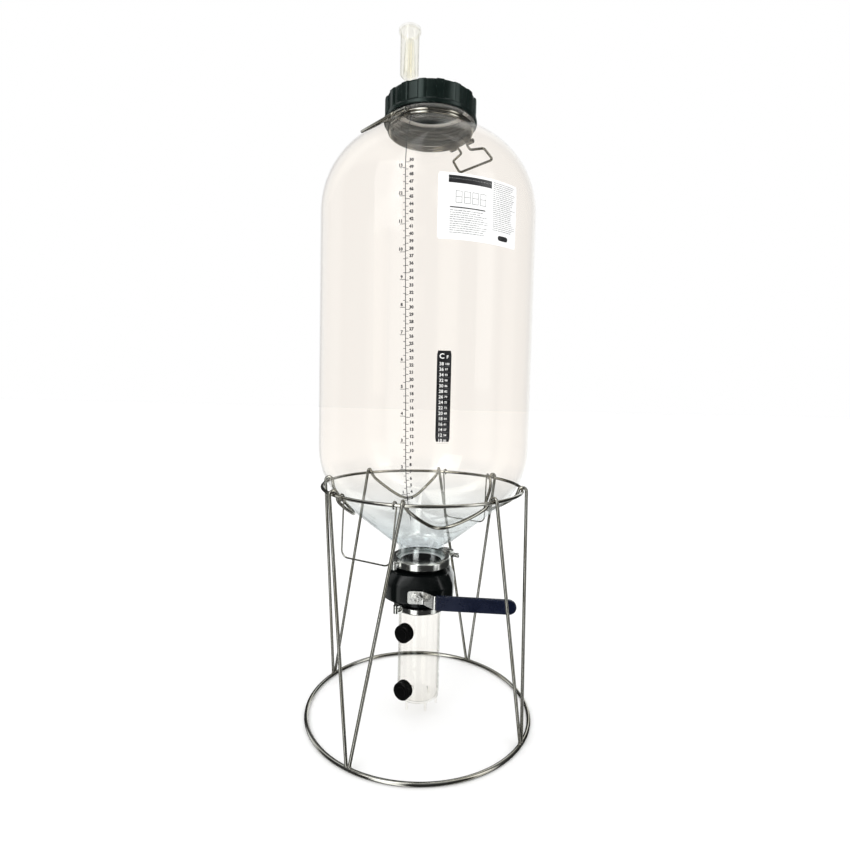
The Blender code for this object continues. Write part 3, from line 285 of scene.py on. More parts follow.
def clear(name, face, edge, gloss, ripple=0.02 * MM, shine=(0.02, 0.4), milk=None, foot=None):
    """Clear thin-walled plastic: it lets light through, and shines more towards its silhouette.

    milk is (low z, high z, share) of a zone where thicker plastic turns a little cloudy.
    foot is (low z, high z, colour) of a zone below with a painted sheen: towards low z what shows through is
    tinted a cooler grey, standing in for the dark valve seen through the cone, and streaks of extra gloss are
    mixed in.
    """
    surface, tree, shader = new_surface(name)
    lean = node(tree, "LayerWeight", {"Blend": 0.5}).outputs["Facing"]
    steep = node(tree, "Math", {0: lean, 1: 5.0}, operation="POWER").outputs["Value"]
    share = between(tree, steep, shine[0], shine[1], 0.0, 1.0)
    waves = noise(tree, 7.0, 2.0, (1.0, 1.0, 0.35))
    shader.inputs["Metallic"].default_value = 1.0
    shader.inputs["Base Color"].default_value = (0.97, 0.98, 0.98, 1.0)
    link(tree, shader, Roughness=between(tree, waves, gloss, gloss + 0.03),
         Normal=bump(tree, waves, ripple))
    tint = colours(tree, lean, (0.0, face), (0.62, face), (1.0, edge))
    place = node(tree, "TexCoord").outputs["Object"]
    height = node(tree, "SeparateXYZ", {0: place}).outputs["Z"]
    if foot:
        # painted sheen: towards the cone's foot the see-through colour turns a cooler grey, standing in for the
        # dark valve seen through it
        thick = between(tree, height, 1.0, 0.0, foot[0], foot[1])
        painted_sheen_tint = node(tree, "MixRGB", {"Fac": thick, "Color1": tint, "Color2": (*foot[2], 1.0)})
        tint = painted_sheen_tint.outputs["Color"]
        streaks = between(tree, noise(tree, 9.0, 3.0, (1.0, 1.0, 3.0)), 0.0, 0.26)
        extra = node(tree, "Math", {0: thick, 1: streaks}, operation="MULTIPLY").outputs["Value"]
        share = node(tree, "Math", {0: share, 1: extra}, operation="ADD").outputs["Value"]
    through = node(tree, "BsdfTransparent", {"Color": tint})
    mixed = node(tree, "MixShader", {0: share, 1: through.outputs[0], 2: shader.outputs[0]})
    if milk:
        bands = between(tree, noise(tree, 16.0, 3.0, (0.3, 0.3, 16.0)), 0.55, 1.0)
        deep = between(tree, height, 0.0, milk[2], milk[0], milk[1])
        cloud = node(tree, "Math", {0: deep, 1: bands}, operation="MULTIPLY").outputs["Value"]
        haze = node(tree, "BsdfPrincipled", {"Base Color": (0.86, 0.87, 0.86, 1.0), "Roughness": 0.3})
        mixed = node(tree, "MixShader", {0: cloud, 1: mixed.outputs[0], 2: haze.outputs[0]})
    tree.links.new(mixed.outputs[0], tree.nodes["Material Output"].inputs["Surface"])
    return surface


def film(name, first, second, rough):
    """Printed film or ink, slightly uneven."""
    surface, tree, shader = new_surface(name)
    patches = noise(tree, 60.0, 4.0)
    link(tree, shader, Base_Color=colours(tree, patches, (0.35, first), (0.7, second)),
         Roughness=between(tree, patches, rough - 0.05, rough + 0.08))
    return surface


ROD = steel("drawn_rod", (0.44, 0.43, 0.40), (0.30, 0.28, 0.23), 0.12, (6.0, 6.0, 0.25))
RING = steel("rolled_rod", (0.48, 0.47, 0.44), (0.32, 0.30, 0.25), 0.12, (1.0, 1.0, 6.0))
WELD = steel("weld_bead", (0.40, 0.38, 0.35), (0.24, 0.21, 0.17), 0.34, (1.0, 1.0, 1.0), 500.0, 0.2 * MM)
STAMPED = steel("stamped_steel", (0.80, 0.79, 0.77), (0.74, 0.73, 0.70), 0.24, (0.4, 1.0, 7.0), 240.0)
CAST = steel("polished_casting", (0.78, 0.78, 0.76), (0.58, 0.57, 0.54), 0.14, (1.0, 1.0, 1.0), 160.0)
# the foot zone is a painted sheen: a cooler grey low on the cone, standing in for the dark valve seen through it
PET = clear("clear_tank", (0.990, 0.977, 0.961), (0.985, 0.980, 0.975), 0.02, shine=(0.012, 0.13),
            milk=(0.985, 0.997, 0.13), foot=(0.31, 0.44, (0.93, 0.95, 0.955)))
JAR_CLEAR = clear("clear_jar", (0.985, 0.980, 0.968), (0.80, 0.79, 0.77), 0.03, 0.05 * MM, (0.02, 0.6))
STYRENE = clear("airlock_styrene", (0.990, 0.986, 0.968), (0.80, 0.79, 0.75), 0.05, 0.04 * MM, (0.02, 0.5))
LID_BLACK = moulded("lid_black", (0.005, 0.009, 0.008), (0.011, 0.017, 0.015), 0.18, depth=0.008 * MM,
                    shine=0.22, tone=(0.82, 1.0, 0.95))
BLACK = moulded("black_moulding", (0.002, 0.003, 0.003), (0.004, 0.005, 0.005), 0.16,
                depth=0.008 * MM, shine=0.2)
CAP_BLACK = moulded("port_cap_black", (0.001, 0.001, 0.001), (0.003, 0.003, 0.003), 0.4,
                    depth=0.01 * MM, shine=0.12)
RUBBER = moulded("black_rubber", (0.008, 0.008, 0.008), (0.018, 0.018, 0.018), 0.62, 300.0,
                 0.06 * MM, shine=0.3)
SILICONE = moulded("white_silicone", (0.72, 0.73, 0.72), (0.84, 0.84, 0.82), 0.45, 240.0, 0.04 * MM)
VINYL = moulded("navy_vinyl", (0.002, 0.004, 0.014), (0.004, 0.008, 0.028), 0.25, 260.0, 0.03 * MM, 0.08, 0.3)
PAPER = film("label_film", (0.86, 0.86, 0.86), (0.92, 0.92, 0.91), 0.35)
STRIP = film("strip_film", (0.010, 0.010, 0.011), (0.022, 0.022, 0.024), 0.3)
INK = film("black_ink", (0.015, 0.015, 0.017), (0.04, 0.04, 0.042), 0.45)
PALE_INK = film("pale_ink", (0.80, 0.80, 0.78), (0.90, 0.90, 0.88), 0.45)
GREY_INK = film("grey_ink", (0.10, 0.10, 0.11), (0.22, 0.22, 0.23), 0.5)


# ================================= modelling helpers ================================================

def shade(mesh, sharp=32.0):
    mesh.shade_smooth()
    mesh.set_sharp_from_angle(angle=radians(sharp))


def add(name, data, surface):
    obj = bpy.data.objects.new(name, data)
    bpy.context.scene.collection.objects.link(obj)
    if surface is not None:
        data.materials.append(surface)
    return obj


def turn_with_valve(obj, cad_node):
    """The valve is modelled with its stem on -Y, and then turned a little about Z."""
    if cad_node in VALVE_NODES:
        bpy.context.view_layer.update()
        obj.matrix_world = Matrix.Rotation(VALVE_TURN, 4, "Z") @ obj.matrix_world


def stands_for(obj, *nodes):
    """The piece takes the place and the body of CAD nodes, which are hidden."""
    turn_with_valve(obj, nodes[0])
    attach(obj, BODY_OF[nodes[0]])
    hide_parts(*nodes)
    return obj


def goes_with(obj, cad_node):
    """A detail that no CAD node stands for; it moves with the node that it sits on."""
    turn_with_valve(obj, cad_node)
    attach(obj, BODY_OF[cad_node])
    return obj


def arc(centre, radius, start, end, steps):
    """Points of an arc in a plane, both ends included."""
    span = [start + (end - start) * i / steps for i in range(steps + 1)]
    return [(centre[0] + radius * cos(a), centre[1] + radius * sin(a)) for a in span]


def bend_points(before, here, after, radius, steps):
    """The arc that rounds one corner of a polyline."""
    back, ahead = (before - here).normalized(), (after - here).normalized()
    half = back.angle(ahead) / 2
    reach = min(radius / tan(half), (before - here).length * 0.48, (after - here).length * 0.48)
    centre = here + (back + ahead).normalized() * reach / cos(half)
    first, last = here + back * reach - centre, here + ahead * reach - centre
    sweep = first.angle(last)
    points = []
    for i in range(steps + 1):
        t = i / steps
        blend = (first * sin((1 - t) * sweep) + last * sin(t * sweep)) / sin(sweep)
        points.append(centre + blend)
    return points


def soften(points, radius, closed=True, steps=4, least=18.0):
    """An outline in a plane with each clear corner rounded."""
    made = []
    count = len(points)
    for i, point in enumerate(points):
        here = Vector(point)
        before, after = Vector(points[i - 1]), Vector(points[(i + 1) % count])
        at_end = not closed and i in (0, count - 1)
        if at_end or pi - (before - here).angle(after - here) < radians(least):
            made.append(here)
        else:
            made += bend_points(before, here, after, radius, steps)
    return [tuple(p) for p in made]


def rounded(points, radius, steps=8):
    """A path in space with each inner corner rounded."""
    path = [Vector(points[0])]
    for before, here, after in zip(points, points[1:], points[2:]):
        path += bend_points(Vector(before), Vector(here), Vector(after), radius, steps)
    return path + [Vector(points[-1])]


def lofted(name, rows, surface, sides=96, closed=True, sharp=32.0):
    """Rows of (radius, height) turned about Z, outer side first and downwards.

    A radius may be a function of azimuth.  An open outline starts and ends on the axis.
    """
    verts, faces, starts = [], [], []
    for radius, z in rows:
        starts.append(len(verts))
        if not callable(radius) and radius == 0.0:
            verts.append((0.0, 0.0, z))
            continue
        for j in range(sides):
            a = 2 * pi * j / sides
            r = radius(a) if callable(radius) else radius
            verts.append((r * cos(a), r * sin(a), z))
    pairs = list(zip(range(len(rows)), range(1, len(rows))))
    if closed:
        pairs.append((len(rows) - 1, 0))
    for upper, lower in pairs:
        top, low = starts[upper], starts[lower]
        top_pole = not callable(rows[upper][0]) and rows[upper][0] == 0.0
        low_pole = not callable(rows[lower][0]) and rows[lower][0] == 0.0
        for j in range(sides):
            k = (j + 1) % sides
            if top_pole:
                faces.append((top, low + j, low + k))
            elif low_pole:
                faces.append((top + j, low, top + k))
            else:
                faces.append((top + j, low + j, low + k, top + k))
    mesh = bpy.data.meshes.new(name)
    mesh.from_pydata(verts, [], faces)
    shade(mesh, sharp)
    return add(name, mesh, surface)


def turned(name, profile, surface, sides=96, closed=True, fillet=0.4 * MM):
    return lofted(name, soften(profile, fillet, closed), surface, sides, closed)


def ring(r_in, r_out, z_low, z_high):
    return [(r_out, z_high), (r_out, z_low), (r_in, z_low), (r_in, z_high)]


def rod(name, points, radius, surface, cyclic=False):
    """A bent round rod as a curve with a round section."""
    curve = bpy.data.curves.new(name, "CURVE")
    curve.dimensions = "3D"
    curve.bevel_depth = radius
    curve.bevel_resolution = 4
    curve.use_fill_caps = True
    spline = curve.splines.new("POLY")
    spline.points.add(len(points) - 1)
    for point, place in zip(spline.points, points):
        point.co = (*place, 1.0)
    spline.use_cyclic_u = cyclic
    return add(name, curve, surface)


def polar(radius, azimuth, z):
    return Vector((radius * cos(azimuth), radius * sin(azimuth), z))


def circle(radius, z, steps=192):
    return [polar(radius, 2 * pi * i / steps, z) for i in range(steps)]


def settled(obj, sharp=32.0):
    """The object with its modifiers applied, in its own place."""
    bpy.context.view_layer.update()
    evaluated = obj.evaluated_get(bpy.context.evaluated_depsgraph_get())
    mesh = bpy.data.meshes.new_from_object(evaluated)
    obj.modifiers.clear()
    if obj.type == "MESH":
        obj.data = mesh
        made = obj
    else:
        name, place = obj.name, obj.matrix_world.copy()
        bpy.data.objects.remove(obj, do_unlink=True)
        made = add(name, mesh, None)
        made.matrix_world = place
    bm = bmesh.new()
    bm.from_mesh(mesh)
    bmesh.ops.remove_doubles(bm, verts=bm.verts, dist=0.000005)
    bm.to_mesh(mesh)
    bm.free()
    shade(mesh, sharp)
    even = made.modifiers.new("even", "WEIGHTED_NORMAL")
    even.keep_sharp = True
    return made


def prism(name, outline, low, high, surface=None, soft=0.0, steps=3):
    """A flat outline in plan, extruded between two heights; its long edges may be rounded."""
    mesh = bpy.data.meshes.new(name)
    bm = bmesh.new()
    floor = [bm.verts.new((x, y, low)) for x, y in outline]
    face = bm.faces.new(floor)
    bm.normal_update()
    if face.normal.z > 0:
        face.normal_flip()
    raised = bmesh.ops.extrude_face_region(bm, geom=[face])
    top = [v for v in raised["geom"] if isinstance(v, bmesh.types.BMVert)]
    bmesh.ops.translate(bm, vec=(0, 0, high - low), verts=top)
    bmesh.ops.recalc_face_normals(bm, faces=bm.faces)
    bm.to_mesh(mesh)
    bm.free()
    made = add(name, mesh, surface)
    if soft:
        edge = made.modifiers.new("soften", "BEVEL")
        edge.width = soft
        edge.segments = steps
        edge.limit_method = "ANGLE"
        edge.angle_limit = radians(50.0)
    return made


def cylinder(name, radius, start, end, surface=None, sides=48):
    start, end = Vector(start), Vector(end)
    made = lofted(name, [(0.0, (end - start).length), (radius, (end - start).length), (radius, 0.0),
                         (0.0, 0.0)], surface, sides, closed=False)
    made.rotation_euler = (end - start).to_track_quat("Z", "Y").to_euler()
    made.location = start
    return made


def cut(obj, others, operation="DIFFERENCE"):
    """Boolean with each of the other objects, which are then removed."""
    for other in others:
        step = obj.modifiers.new(other.name, "BOOLEAN")
        step.object = other
        step.operation = operation
        step.solver = "EXACT"
    made = settled(obj)
    for other in others:
        bpy.data.objects.remove(other, do_unlink=True)
    return made


def helix(name, radius, z_low, pitch, turns, height, width, surface, inward=False):
    """A screw thread: a ridge of trapezoid section wound about Z, fading out at both ends."""
    steps = int(64 * turns)
    verts, faces = [], []
    for i in range(steps + 1):
        a = 2 * pi * turns * i / steps
        fade = min(1.0, i / 8, (steps - i) / 8)
        z = z_low + pitch * turns * i / steps
        root = radius + (0.3 * MM if inward else -0.3 * MM)
        crest = radius + (-height if inward else height) * fade
        for r, dz in ((root, -width / 2), (crest, -width / 4), (crest, width / 4), (root, width / 2)):
            verts.append((r * cos(a), r * sin(a), z + dz))
    for i in range(steps):
        for k in range(4):
            a, b = 4 * i + k, 4 * i + (k + 1) % 4
            quad = (a, b, b + 4, a + 4)
            faces.append(quad[::-1] if not inward else quad)
    faces += [(0, 1, 2, 3), (4 * steps + 3, 4 * steps + 2, 4 * steps + 1, 4 * steps)]
    mesh = bpy.data.meshes.new(name)
    mesh.from_pydata(verts, [], faces)
    bm = bmesh.new()
    bm.from_mesh(mesh)
    bmesh.ops.recalc_face_normals(bm, faces=bm.faces)
    bm.to_mesh(mesh)
    bm.free()
    shade(mesh)
    return add(name, mesh, surface)


def merged(name, pieces, surface):
    """Several loose meshes as one piece."""
    bm = bmesh.new()
    for piece in pieces:
        bpy.context.view_layer.update()
        copy = piece.data.copy()
        copy.transform(piece.matrix_world)
        bm.from_mesh(copy)
        bpy.data.meshes.remove(copy)
        bpy.data.objects.remove(piece, do_unlink=True)
    mesh = bpy.data.meshes.new(name)
    bm.to_mesh(mesh)
    bm.free()
    shade(mesh)
    mesh.materials.clear()
    return add(name, mesh, surface)


def along_y(obj, z=0.0):
    """Lay a piece turned about Z along Y: its own +Z then points to the front, -Y."""
    obj.rotation_euler = (pi / 2, 0.0, 0.0)
    obj.location = (0.0, 0.0, z)
    return obj


# ====================================== tank ========================================================

def tank_outline(inset=0.0):
    """Shoulder, wall, heel and cone from the neck down; inset gives the inner face."""
    dome_centre = (TANK_R - DOME_ARC, DOME_Z)
    heel_centre = (TANK_R - HEEL_ARC, HEEL_Z)
    neck_edge = NECK_SHANK_R + 4.5 * MM
    start = pi / 2 - asin((neck_edge - dome_centre[0]) / DOME_ARC)
    points = arc(dome_centre, DOME_ARC - inset, start, 0.0, 36)
    points += arc(heel_centre, HEEL_ARC - inset, 0.0, CONE_SLOPE - pi / 2, 24)
    points.append((CONE_END[0] - inset * sin(CONE_SLOPE), CONE_END[1] + inset * cos(CONE_SLOPE)))
    return points


def tank_radius(z):
    """Outer radius of the tank between the cone and the shoulder."""
    if z > DOME_Z:
        return TANK_R - DOME_ARC + sqrt(max(DOME_ARC ** 2 - (z - DOME_Z) ** 2, 0.0))
    cone_start = HEEL_Z - HEEL_ARC * cos(CONE_SLOPE)
    if z >= HEEL_Z:
        return TANK_R
    if z >= cone_start:
        return TANK_R - HEEL_ARC + sqrt(HEEL_ARC ** 2 - (HEEL_Z - z) ** 2)
    return TANK_R - HEEL_ARC + HEEL_ARC * sin(CONE_SLOPE) - (cone_start - z) / tan(CONE_SLOPE)


def heel_radius(z, offset):
    """Radius of a line that runs round the heel or cone at a height, off the wall by an offset."""
    reach = HEEL_ARC + offset
    cone_start = HEEL_Z - reach * cos(CONE_SLOPE)
    if z >= cone_start:
        return TANK_R - HEEL_ARC + sqrt(reach ** 2 - (HEEL_Z - z) ** 2)
    return TANK_R - HEEL_ARC + reach * sin(CONE_SLOPE) - (cone_start - z) / tan(CONE_SLOPE)


def make_tank():
    neck_top = TANK_HIGH.z
    flange_low = TANK_LOW.z
    flange_top = UPPER_CLAMP_Z + 5.0 * MM
    outer = [(NECK_R, neck_top), (NECK_R, SUPPORT_Z + 3.4 * MM), (SUPPORT_R - 1.0 * MM, SUPPORT_Z + 2.4 * MM),
             (SUPPORT_R, SUPPORT_Z + 1.2 * MM), (SUPPORT_R - 1.0 * MM, SUPPORT_Z),
             (NECK_SHANK_R, SUPPORT_Z - 0.5 * MM), (NECK_SHANK_R, SHANK_LOW_Z)]
    outer += tank_outline()
    outer += [(44.5 * MM, 305.4 * MM), (43.0 * MM, 301.8 * MM), (OUTLET_R, 300.0 * MM),
              (OUTLET_R, flange_top + 1.6 * MM), (UPPER_FLANGE_R, flange_top), (UPPER_FLANGE_R, flange_low)]
    inner = [(OUTLET_BORE, flange_low), (OUTLET_BORE + 0.6 * MM, 300.0 * MM), (45.0 * MM, 307.0 * MM)]
    inner += tank_outline(TANK_WALL)[::-1]
    inner += [(NECK_SHANK_R - 2.0 * MM, SHANK_LOW_Z - 4.0 * MM), (NECK_BORE, SHANK_LOW_Z + 0.5 * MM),
              (NECK_BORE, neck_top)]
    tank = turned("tank_shell", outer + inner, PET, TANK_SIDES, fillet=1.0 * MM)
    stands_for(tank, "tank")
    thread = helix("neck_thread", NECK_R, SUPPORT_Z + 9.0 * MM, 6.0 * MM, 3.2, 2.0 * MM, 3.0 * MM, PET)
    goes_with(thread, "tank")


# ============================== print, label and thermometer ========================================

def on_wall(u, z, azimuth, lift, slant=0.0):
    """A point u along the wall from an azimuth, at a height, lifted off the surface."""
    r = tank_radius(z)
    u += slant * (z - SCALE_FOOT)
    turn = azimuth + u / max(r, 0.05)
    return polar(r + lift, turn, z)


def wrapped(name, quads, azimuth, lift, surface, columns=6, rows=1, slant=0.0):
    """Rectangles (u_low, z_low, u_high, z_high) laid on the tank's wall as one thin piece."""
    verts, faces = [], []
    for u0, z0, u1, z1 in quads:
        across = columns if u1 - u0 > 8 * MM else 1
        down = rows if z1 - z0 > 8 * MM else 1
        first = len(verts)
        for j in range(down + 1):
            for i in range(across + 1):
                u, z = u0 + (u1 - u0) * i / across, z0 + (z1 - z0) * j / down
                verts.append(on_wall(u, z, azimuth, lift, slant))
        for j in range(down):
            for i in range(across):
                a = first + j * (across + 1) + i
                faces.append((a, a + 1, a + across + 2, a + across + 1))
    mesh = bpy.data.meshes.new(name)
    mesh.from_pydata(verts, [], faces)
    mesh.shade_smooth()
    return add(name, mesh, surface)


def figures(name, entries, azimuth, lift, surface, bold=0.03, slant=0.0):
    """Numbers (text, u, z, height, align) laid on the wall as one thin piece."""
    bm = bmesh.new()
    for text, u, z, height, align in entries:
        curve = bpy.data.curves.new("figure", "FONT")
        curve.body = text
        curve.size = height * 1.4
        curve.align_x = align
        curve.align_y = "CENTER"
        curve.resolution_u = 2
        curve.offset = height * bold
        letter = add("figure", curve, None)
        bpy.context.view_layer.update()
        mesh = bpy.data.meshes.new_from_object(letter.evaluated_get(bpy.context.evaluated_depsgraph_get()))
        for vertex in mesh.vertices:
            vertex.co = on_wall(u + vertex.co.x, z + vertex.co.y, azimuth, lift, slant)
        bm.from_mesh(mesh)
        bpy.data.meshes.remove(mesh)
        bpy.data.objects.remove(letter, do_unlink=True)
    mesh = bpy.data.meshes.new(name)
    bm.to_mesh(mesh)
    bm.free()
    mesh.materials.clear()
    return add(name, mesh, surface)


def make_scale():
    """Litre marks to the right of a line up the wall, and gallon marks to its left."""
    lift = 0.08 * MM
    line, mark = 1.1 * MM, 0.8 * MM
    marks, numbers = [], []
    low, high = 372.0 * MM, 984.0 * MM
    step = 6.0 * MM
    count = int((high - low) / step)
    for i in range(count):
        marks.append((-line / 2, low + i * step, line / 2, low + (i + 1) * step))
    for litre in range(3, LITRES + 1):
        z = SCALE_ZERO + litre * LITRE_Z
        reach = 6.4 * MM if litre % 5 == 0 else 4.2 * MM
        marks.append((0.0, z - mark / 2, reach, z + mark / 2))
        numbers.append((str(litre), 5.4 * MM, z + 3.0 * MM, 4.2 * MM, "LEFT"))
    for gallon in range(1, int(LITRES / GALLON) + 1):
        z = SCALE_ZERO + gallon * GALLON * LITRE_Z
        marks.append((-8.0 * MM, z - mark / 2, 0.0, z + mark / 2))
        numbers.append((str(gallon), -4.0 * MM, z + 3.6 * MM, 4.2 * MM, "RIGHT"))
        for quarter in (1, 2, 3):
            z = SCALE_ZERO + (gallon - 1 + quarter / 4) * GALLON * LITRE_Z
            if z > low:
                marks.append((-3.4 * MM, z - mark / 2, 0.0, z + mark / 2))
    lines = wrapped("litre_scale_marks", marks, SCALE_AZIMUTH, lift, INK, slant=SCALE_SLANT)
    goes_with(lines, "tank")
    text = figures("litre_scale_numbers", numbers, SCALE_AZIMUTH, lift, INK, 0.08, SCALE_SLANT)
    goes_with(text, "tank")


def text_rows(u_low, u_high, z_top, z_low, pitch, thick, seed):
    """Rows of short bars, which stand for small print."""
    pick = Random(seed)
    rows = []
    z = z_top
    while z > z_low:
        u = u_low
        end = u_high - pick.uniform(0.0, 0.25) * (u_high - u_low)
        while u < end:
            long = min(pick.uniform(2.0, 6.0) * MM, end - u)
            rows.append((u, z - thick, u + long, z))
            u += long + 0.9 * MM
        z -= pitch
    return rows


def sheet_body(name, azimuth, low, high, corner, surface, thick=0.4 * MM):
    """A thin sheet with rounded corners, wrapped on the straight wall between two (u, z) corners."""
    (u0, z0), (u1, z1) = low, high
    rows = 24
    columns = max(6, int((u1 - u0) / (2.5 * MM)))
    verts, faces = [], []
    for lift in (GAP, GAP + thick):
        for j in range(rows + 1):
            z = z0 + (z1 - z0) * j / rows
            near = min(z - z0, z1 - z, corner)
            trim = corner - sqrt(max(corner ** 2 - (corner - near) ** 2, 0.0))
            for i in range(columns + 1):
                u = u0 + trim + (u1 - u0 - 2 * trim) * i / columns
                verts.append(on_wall(u, z, azimuth, lift))
    size = (rows + 1) * (columns + 1)
    for j in range(rows):
        for i in range(columns):
            a = j * (columns + 1) + i
            b, c, d = a + 1, a + columns + 2, a + columns + 1
            faces.append((a, d, c, b))
            faces.append((size + a, size + b, size + c, size + d))
    edge = [i for i in range(columns + 1)]
    edge += [j * (columns + 1) + columns for j in range(1, rows + 1)]
    edge += [rows * (columns + 1) + i for i in range(columns - 1, -1, -1)]
    edge += [j * (columns + 1) for j in range(rows - 1, 0, -1)]
    for a, b in zip(edge, edge[1:] + edge[:1]):
        faces.append((a, b, b + size, a + size))
    mesh = bpy.data.meshes.new(name)
    mesh.from_pydata(verts, [], faces)
    shade(mesh)
    return add(name, mesh, surface)


def make_label():
    """Header bar, a line of diagrams, small print in two columns and a badge; none of it is readable."""
    low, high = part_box("instruction_label")
    z0, z1 = low.z, high.z
    half = LABEL_HALF
    sheet = sheet_body("label_sheet", LABEL_AZIMUTH, (-half, z0), (half, z1), 2.0 * MM, PAPER, 0.35 * MM)
    stands_for(sheet, "instruction_label")
    lift = GAP + 0.42 * MM
    left, right = -half + 14.5 * MM, half - 3.0 * MM
    gutter = -half + 78.0 * MM
    header = [(left, z1 - 13.5 * MM, gutter + 2.0 * MM, z1 - 3.5 * MM)]
    goes_with(wrapped("label_header", header, LABEL_AZIMUTH, lift, STRIP, 40), "instruction_label")
    badge = sheet_body("label_badge", LABEL_AZIMUTH, (right - 34.0 * MM, z0 + 7.0 * MM),
                       (right - 15.0 * MM, z0 + 14.0 * MM), 3.4 * MM, STRIP, 0.44 * MM)
    goes_with(badge, "instruction_label")
    small = text_rows(left + 2.5 * MM, gutter - 3.0 * MM, z1 - 50.0 * MM, z0 + 8.0 * MM, 3.0 * MM,
                      0.8 * MM, 5)
    for i in range(5):
        top = z1 - 4.0 * MM - i * 13.6 * MM
        small += text_rows(gutter + 5.0 * MM, right, top, top - 11.0 * MM, 2.7 * MM, 0.8 * MM, 3 + i)
    goes_with(wrapped("label_small_print", small, LABEL_AZIMUTH, lift, GREY_INK, 2), "instruction_label")
    bold = [(left + 2.5 * MM, z1 - 47.0 * MM, gutter - 8.0 * MM, z1 - 45.4 * MM)]
    for i in range(4):
        u = left + 10.5 * MM + i * 12.2 * MM
        for du in (0.0, 8.6 * MM):
            bold.append((u + du, z1 - 40.0 * MM, u + du + 0.5 * MM, z1 - 24.0 * MM))
        for dz in (40.0 * MM, 32.0 * MM, 24.4 * MM):
            bold.append((u, z1 - dz, u + 9.0 * MM, z1 - dz + 0.5 * MM))
    goes_with(wrapped("label_diagrams", bold, LABEL_AZIMUTH, lift, INK, 40), "instruction_label")


def make_thermometer():
    low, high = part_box("thermometer_strip")
    half = 10.2 * MM
    sheet = sheet_body("thermometer_sheet", STRIP_AZIMUTH, (-half, low.z), (half, high.z), 1.2 * MM, STRIP)
    stands_for(sheet, "thermometer_strip")
    lift = GAP + 0.46 * MM
    top = high.z - 9.0 * MM
    pitch = 7.7 * MM
    entries = [("C", -3.5 * MM, top + 1.0 * MM, 7.4 * MM, "CENTER"), ("F", 4.6 * MM, top, 4.6 * MM, "CENTER")]
    lines = []
    for i in range(15):
        celsius = 38 - 2 * i
        fahrenheit = round(celsius * 9 / 5 + 32)
        z = top - 9.6 * MM - i * pitch
        entries.append((str(celsius), -0.4 * MM, z, 4.6 * MM, "RIGHT"))
        entries.append((str(fahrenheit), 1.2 * MM, z, 3.0 * MM, "LEFT"))
        lines.append((-8.6 * MM, z - 3.75 * MM, 8.6 * MM, z - 3.45 * MM))
    goes_with(figures("thermometer_figures", entries, STRIP_AZIMUTH, lift, PALE_INK), "thermometer_strip")
    goes_with(wrapped("thermometer_lines", lines, STRIP_AZIMUTH, lift, GREY_INK), "thermometer_strip")


# ====================================== stand =======================================================

def leg_path(foot, side, spread):
    """A leg from its foot up, over the top ring and down inside it."""
    foot_z = 2 * STAND_ROD + 0.9 * MM
    lean = foot + side * spread
    points = [polar(STAND_RING_R, foot + side * LEG_TOE, foot_z)]
    steps = 14
    for i in range(steps + 1):
        turn = pi * i / steps
        points.append(polar(TOP_RING_R + HOOK_R * cos(turn), lean, TOP_RING_Z + HOOK_R * sin(turn)))
    return points


def cradle_path(start, end):
    """The rod's sag under the cone between two leg tops, lying just off the tank."""
    steps = 48
    points = []
    for i in range(2, steps - 1):
        t = 2 * i / steps - 1
        z = CRADLE_LOW_Z + (TOP_RING_Z - 3.0 * MM - CRADLE_LOW_Z) * abs(t) ** 2
        rest = heel_radius(z, WIRE + CRADLE_GAP)
        inner = TOP_RING_R - HOOK_R
        points.append(polar(rest + (inner - rest) * abs(t) ** 6, start + (end - start) * i / steps, z))
    return points


def bead(bm, place, size, pick):
    """A small uneven weld bead."""
    made = bmesh.ops.create_icosphere(bm, subdivisions=3, radius=1.0)["verts"]
    phase = [pick.uniform(0, 2 * pi) for _ in range(3)]
    for vertex in made:
        x, y, z = vertex.co
        grow = (1.0 + 0.10 * sin(5 * x + phase[0]) + 0.10 * sin(6 * y + phase[1])
                + 0.08 * sin(7 * z + phase[2]))
        vertex.co = Vector((x * size[0], y * size[1], z * size[2])) * grow
    turn = Matrix.Rotation(atan2(place.y, place.x), 4, "Z")
    bmesh.ops.transform(bm, matrix=Matrix.Translation(place) @ turn, verts=made)


def weld_piece(name, beads, cad_node, seed):
    pick = Random(seed)
    bm = bmesh.new()
    for place, size in beads:
        bead(bm, place, size, pick)
    mesh = bpy.data.meshes.new(name)
    bm.to_mesh(mesh)
    bm.free()
    mesh.shade_smooth()
    goes_with(add(name, mesh, WELD), cad_node)


def make_stand():
    base = rod("base_ring", circle(STAND_RING_R, STAND_ROD), STAND_ROD, RING, True)
    stands_for(base, "stand_base_ring")
    top = rod("top_ring", circle(TOP_RING_R, TOP_RING_Z), WIRE, RING, True)
    stands_for(top, "stand_top_ring")
    feet, hooks = [], []
    for i in range(4):
        foot, following = V_AZIMUTH + i * pi / 2, V_AZIMUTH + (i + 1) * pi / 2
        near, far = LEG_SPREAD[i], LEG_SPREAD[(i + 1) % 4]
        first, last = leg_path(foot, 1, near), leg_path(following, -1, far)
        bridge = cradle_path(foot + near, following - far)
        leg = rod(f"leg_rod_{i + 1}", first + bridge + last[::-1], WIRE, ROD)
        stands_for(leg, f"stand_rod_{i + 1}")
        for side in (1, -1):
            toe = polar(STAND_RING_R, foot + side * LEG_TOE, 2 * STAND_ROD + 0.2 * MM)
            feet.append((toe, (2.6 * MM, 4.6 * MM, 1.5 * MM)))
            crest = polar(TOP_RING_R, foot + side * near, TOP_RING_Z + WIRE + 0.2 * MM)
            hooks.append((crest, (2.0 * MM, 3.2 * MM, 0.9 * MM)))
    weld_piece("foot_welds", feet, "stand_base_ring", 11)
    weld_piece("hook_welds", hooks, "stand_top_ring", 12)


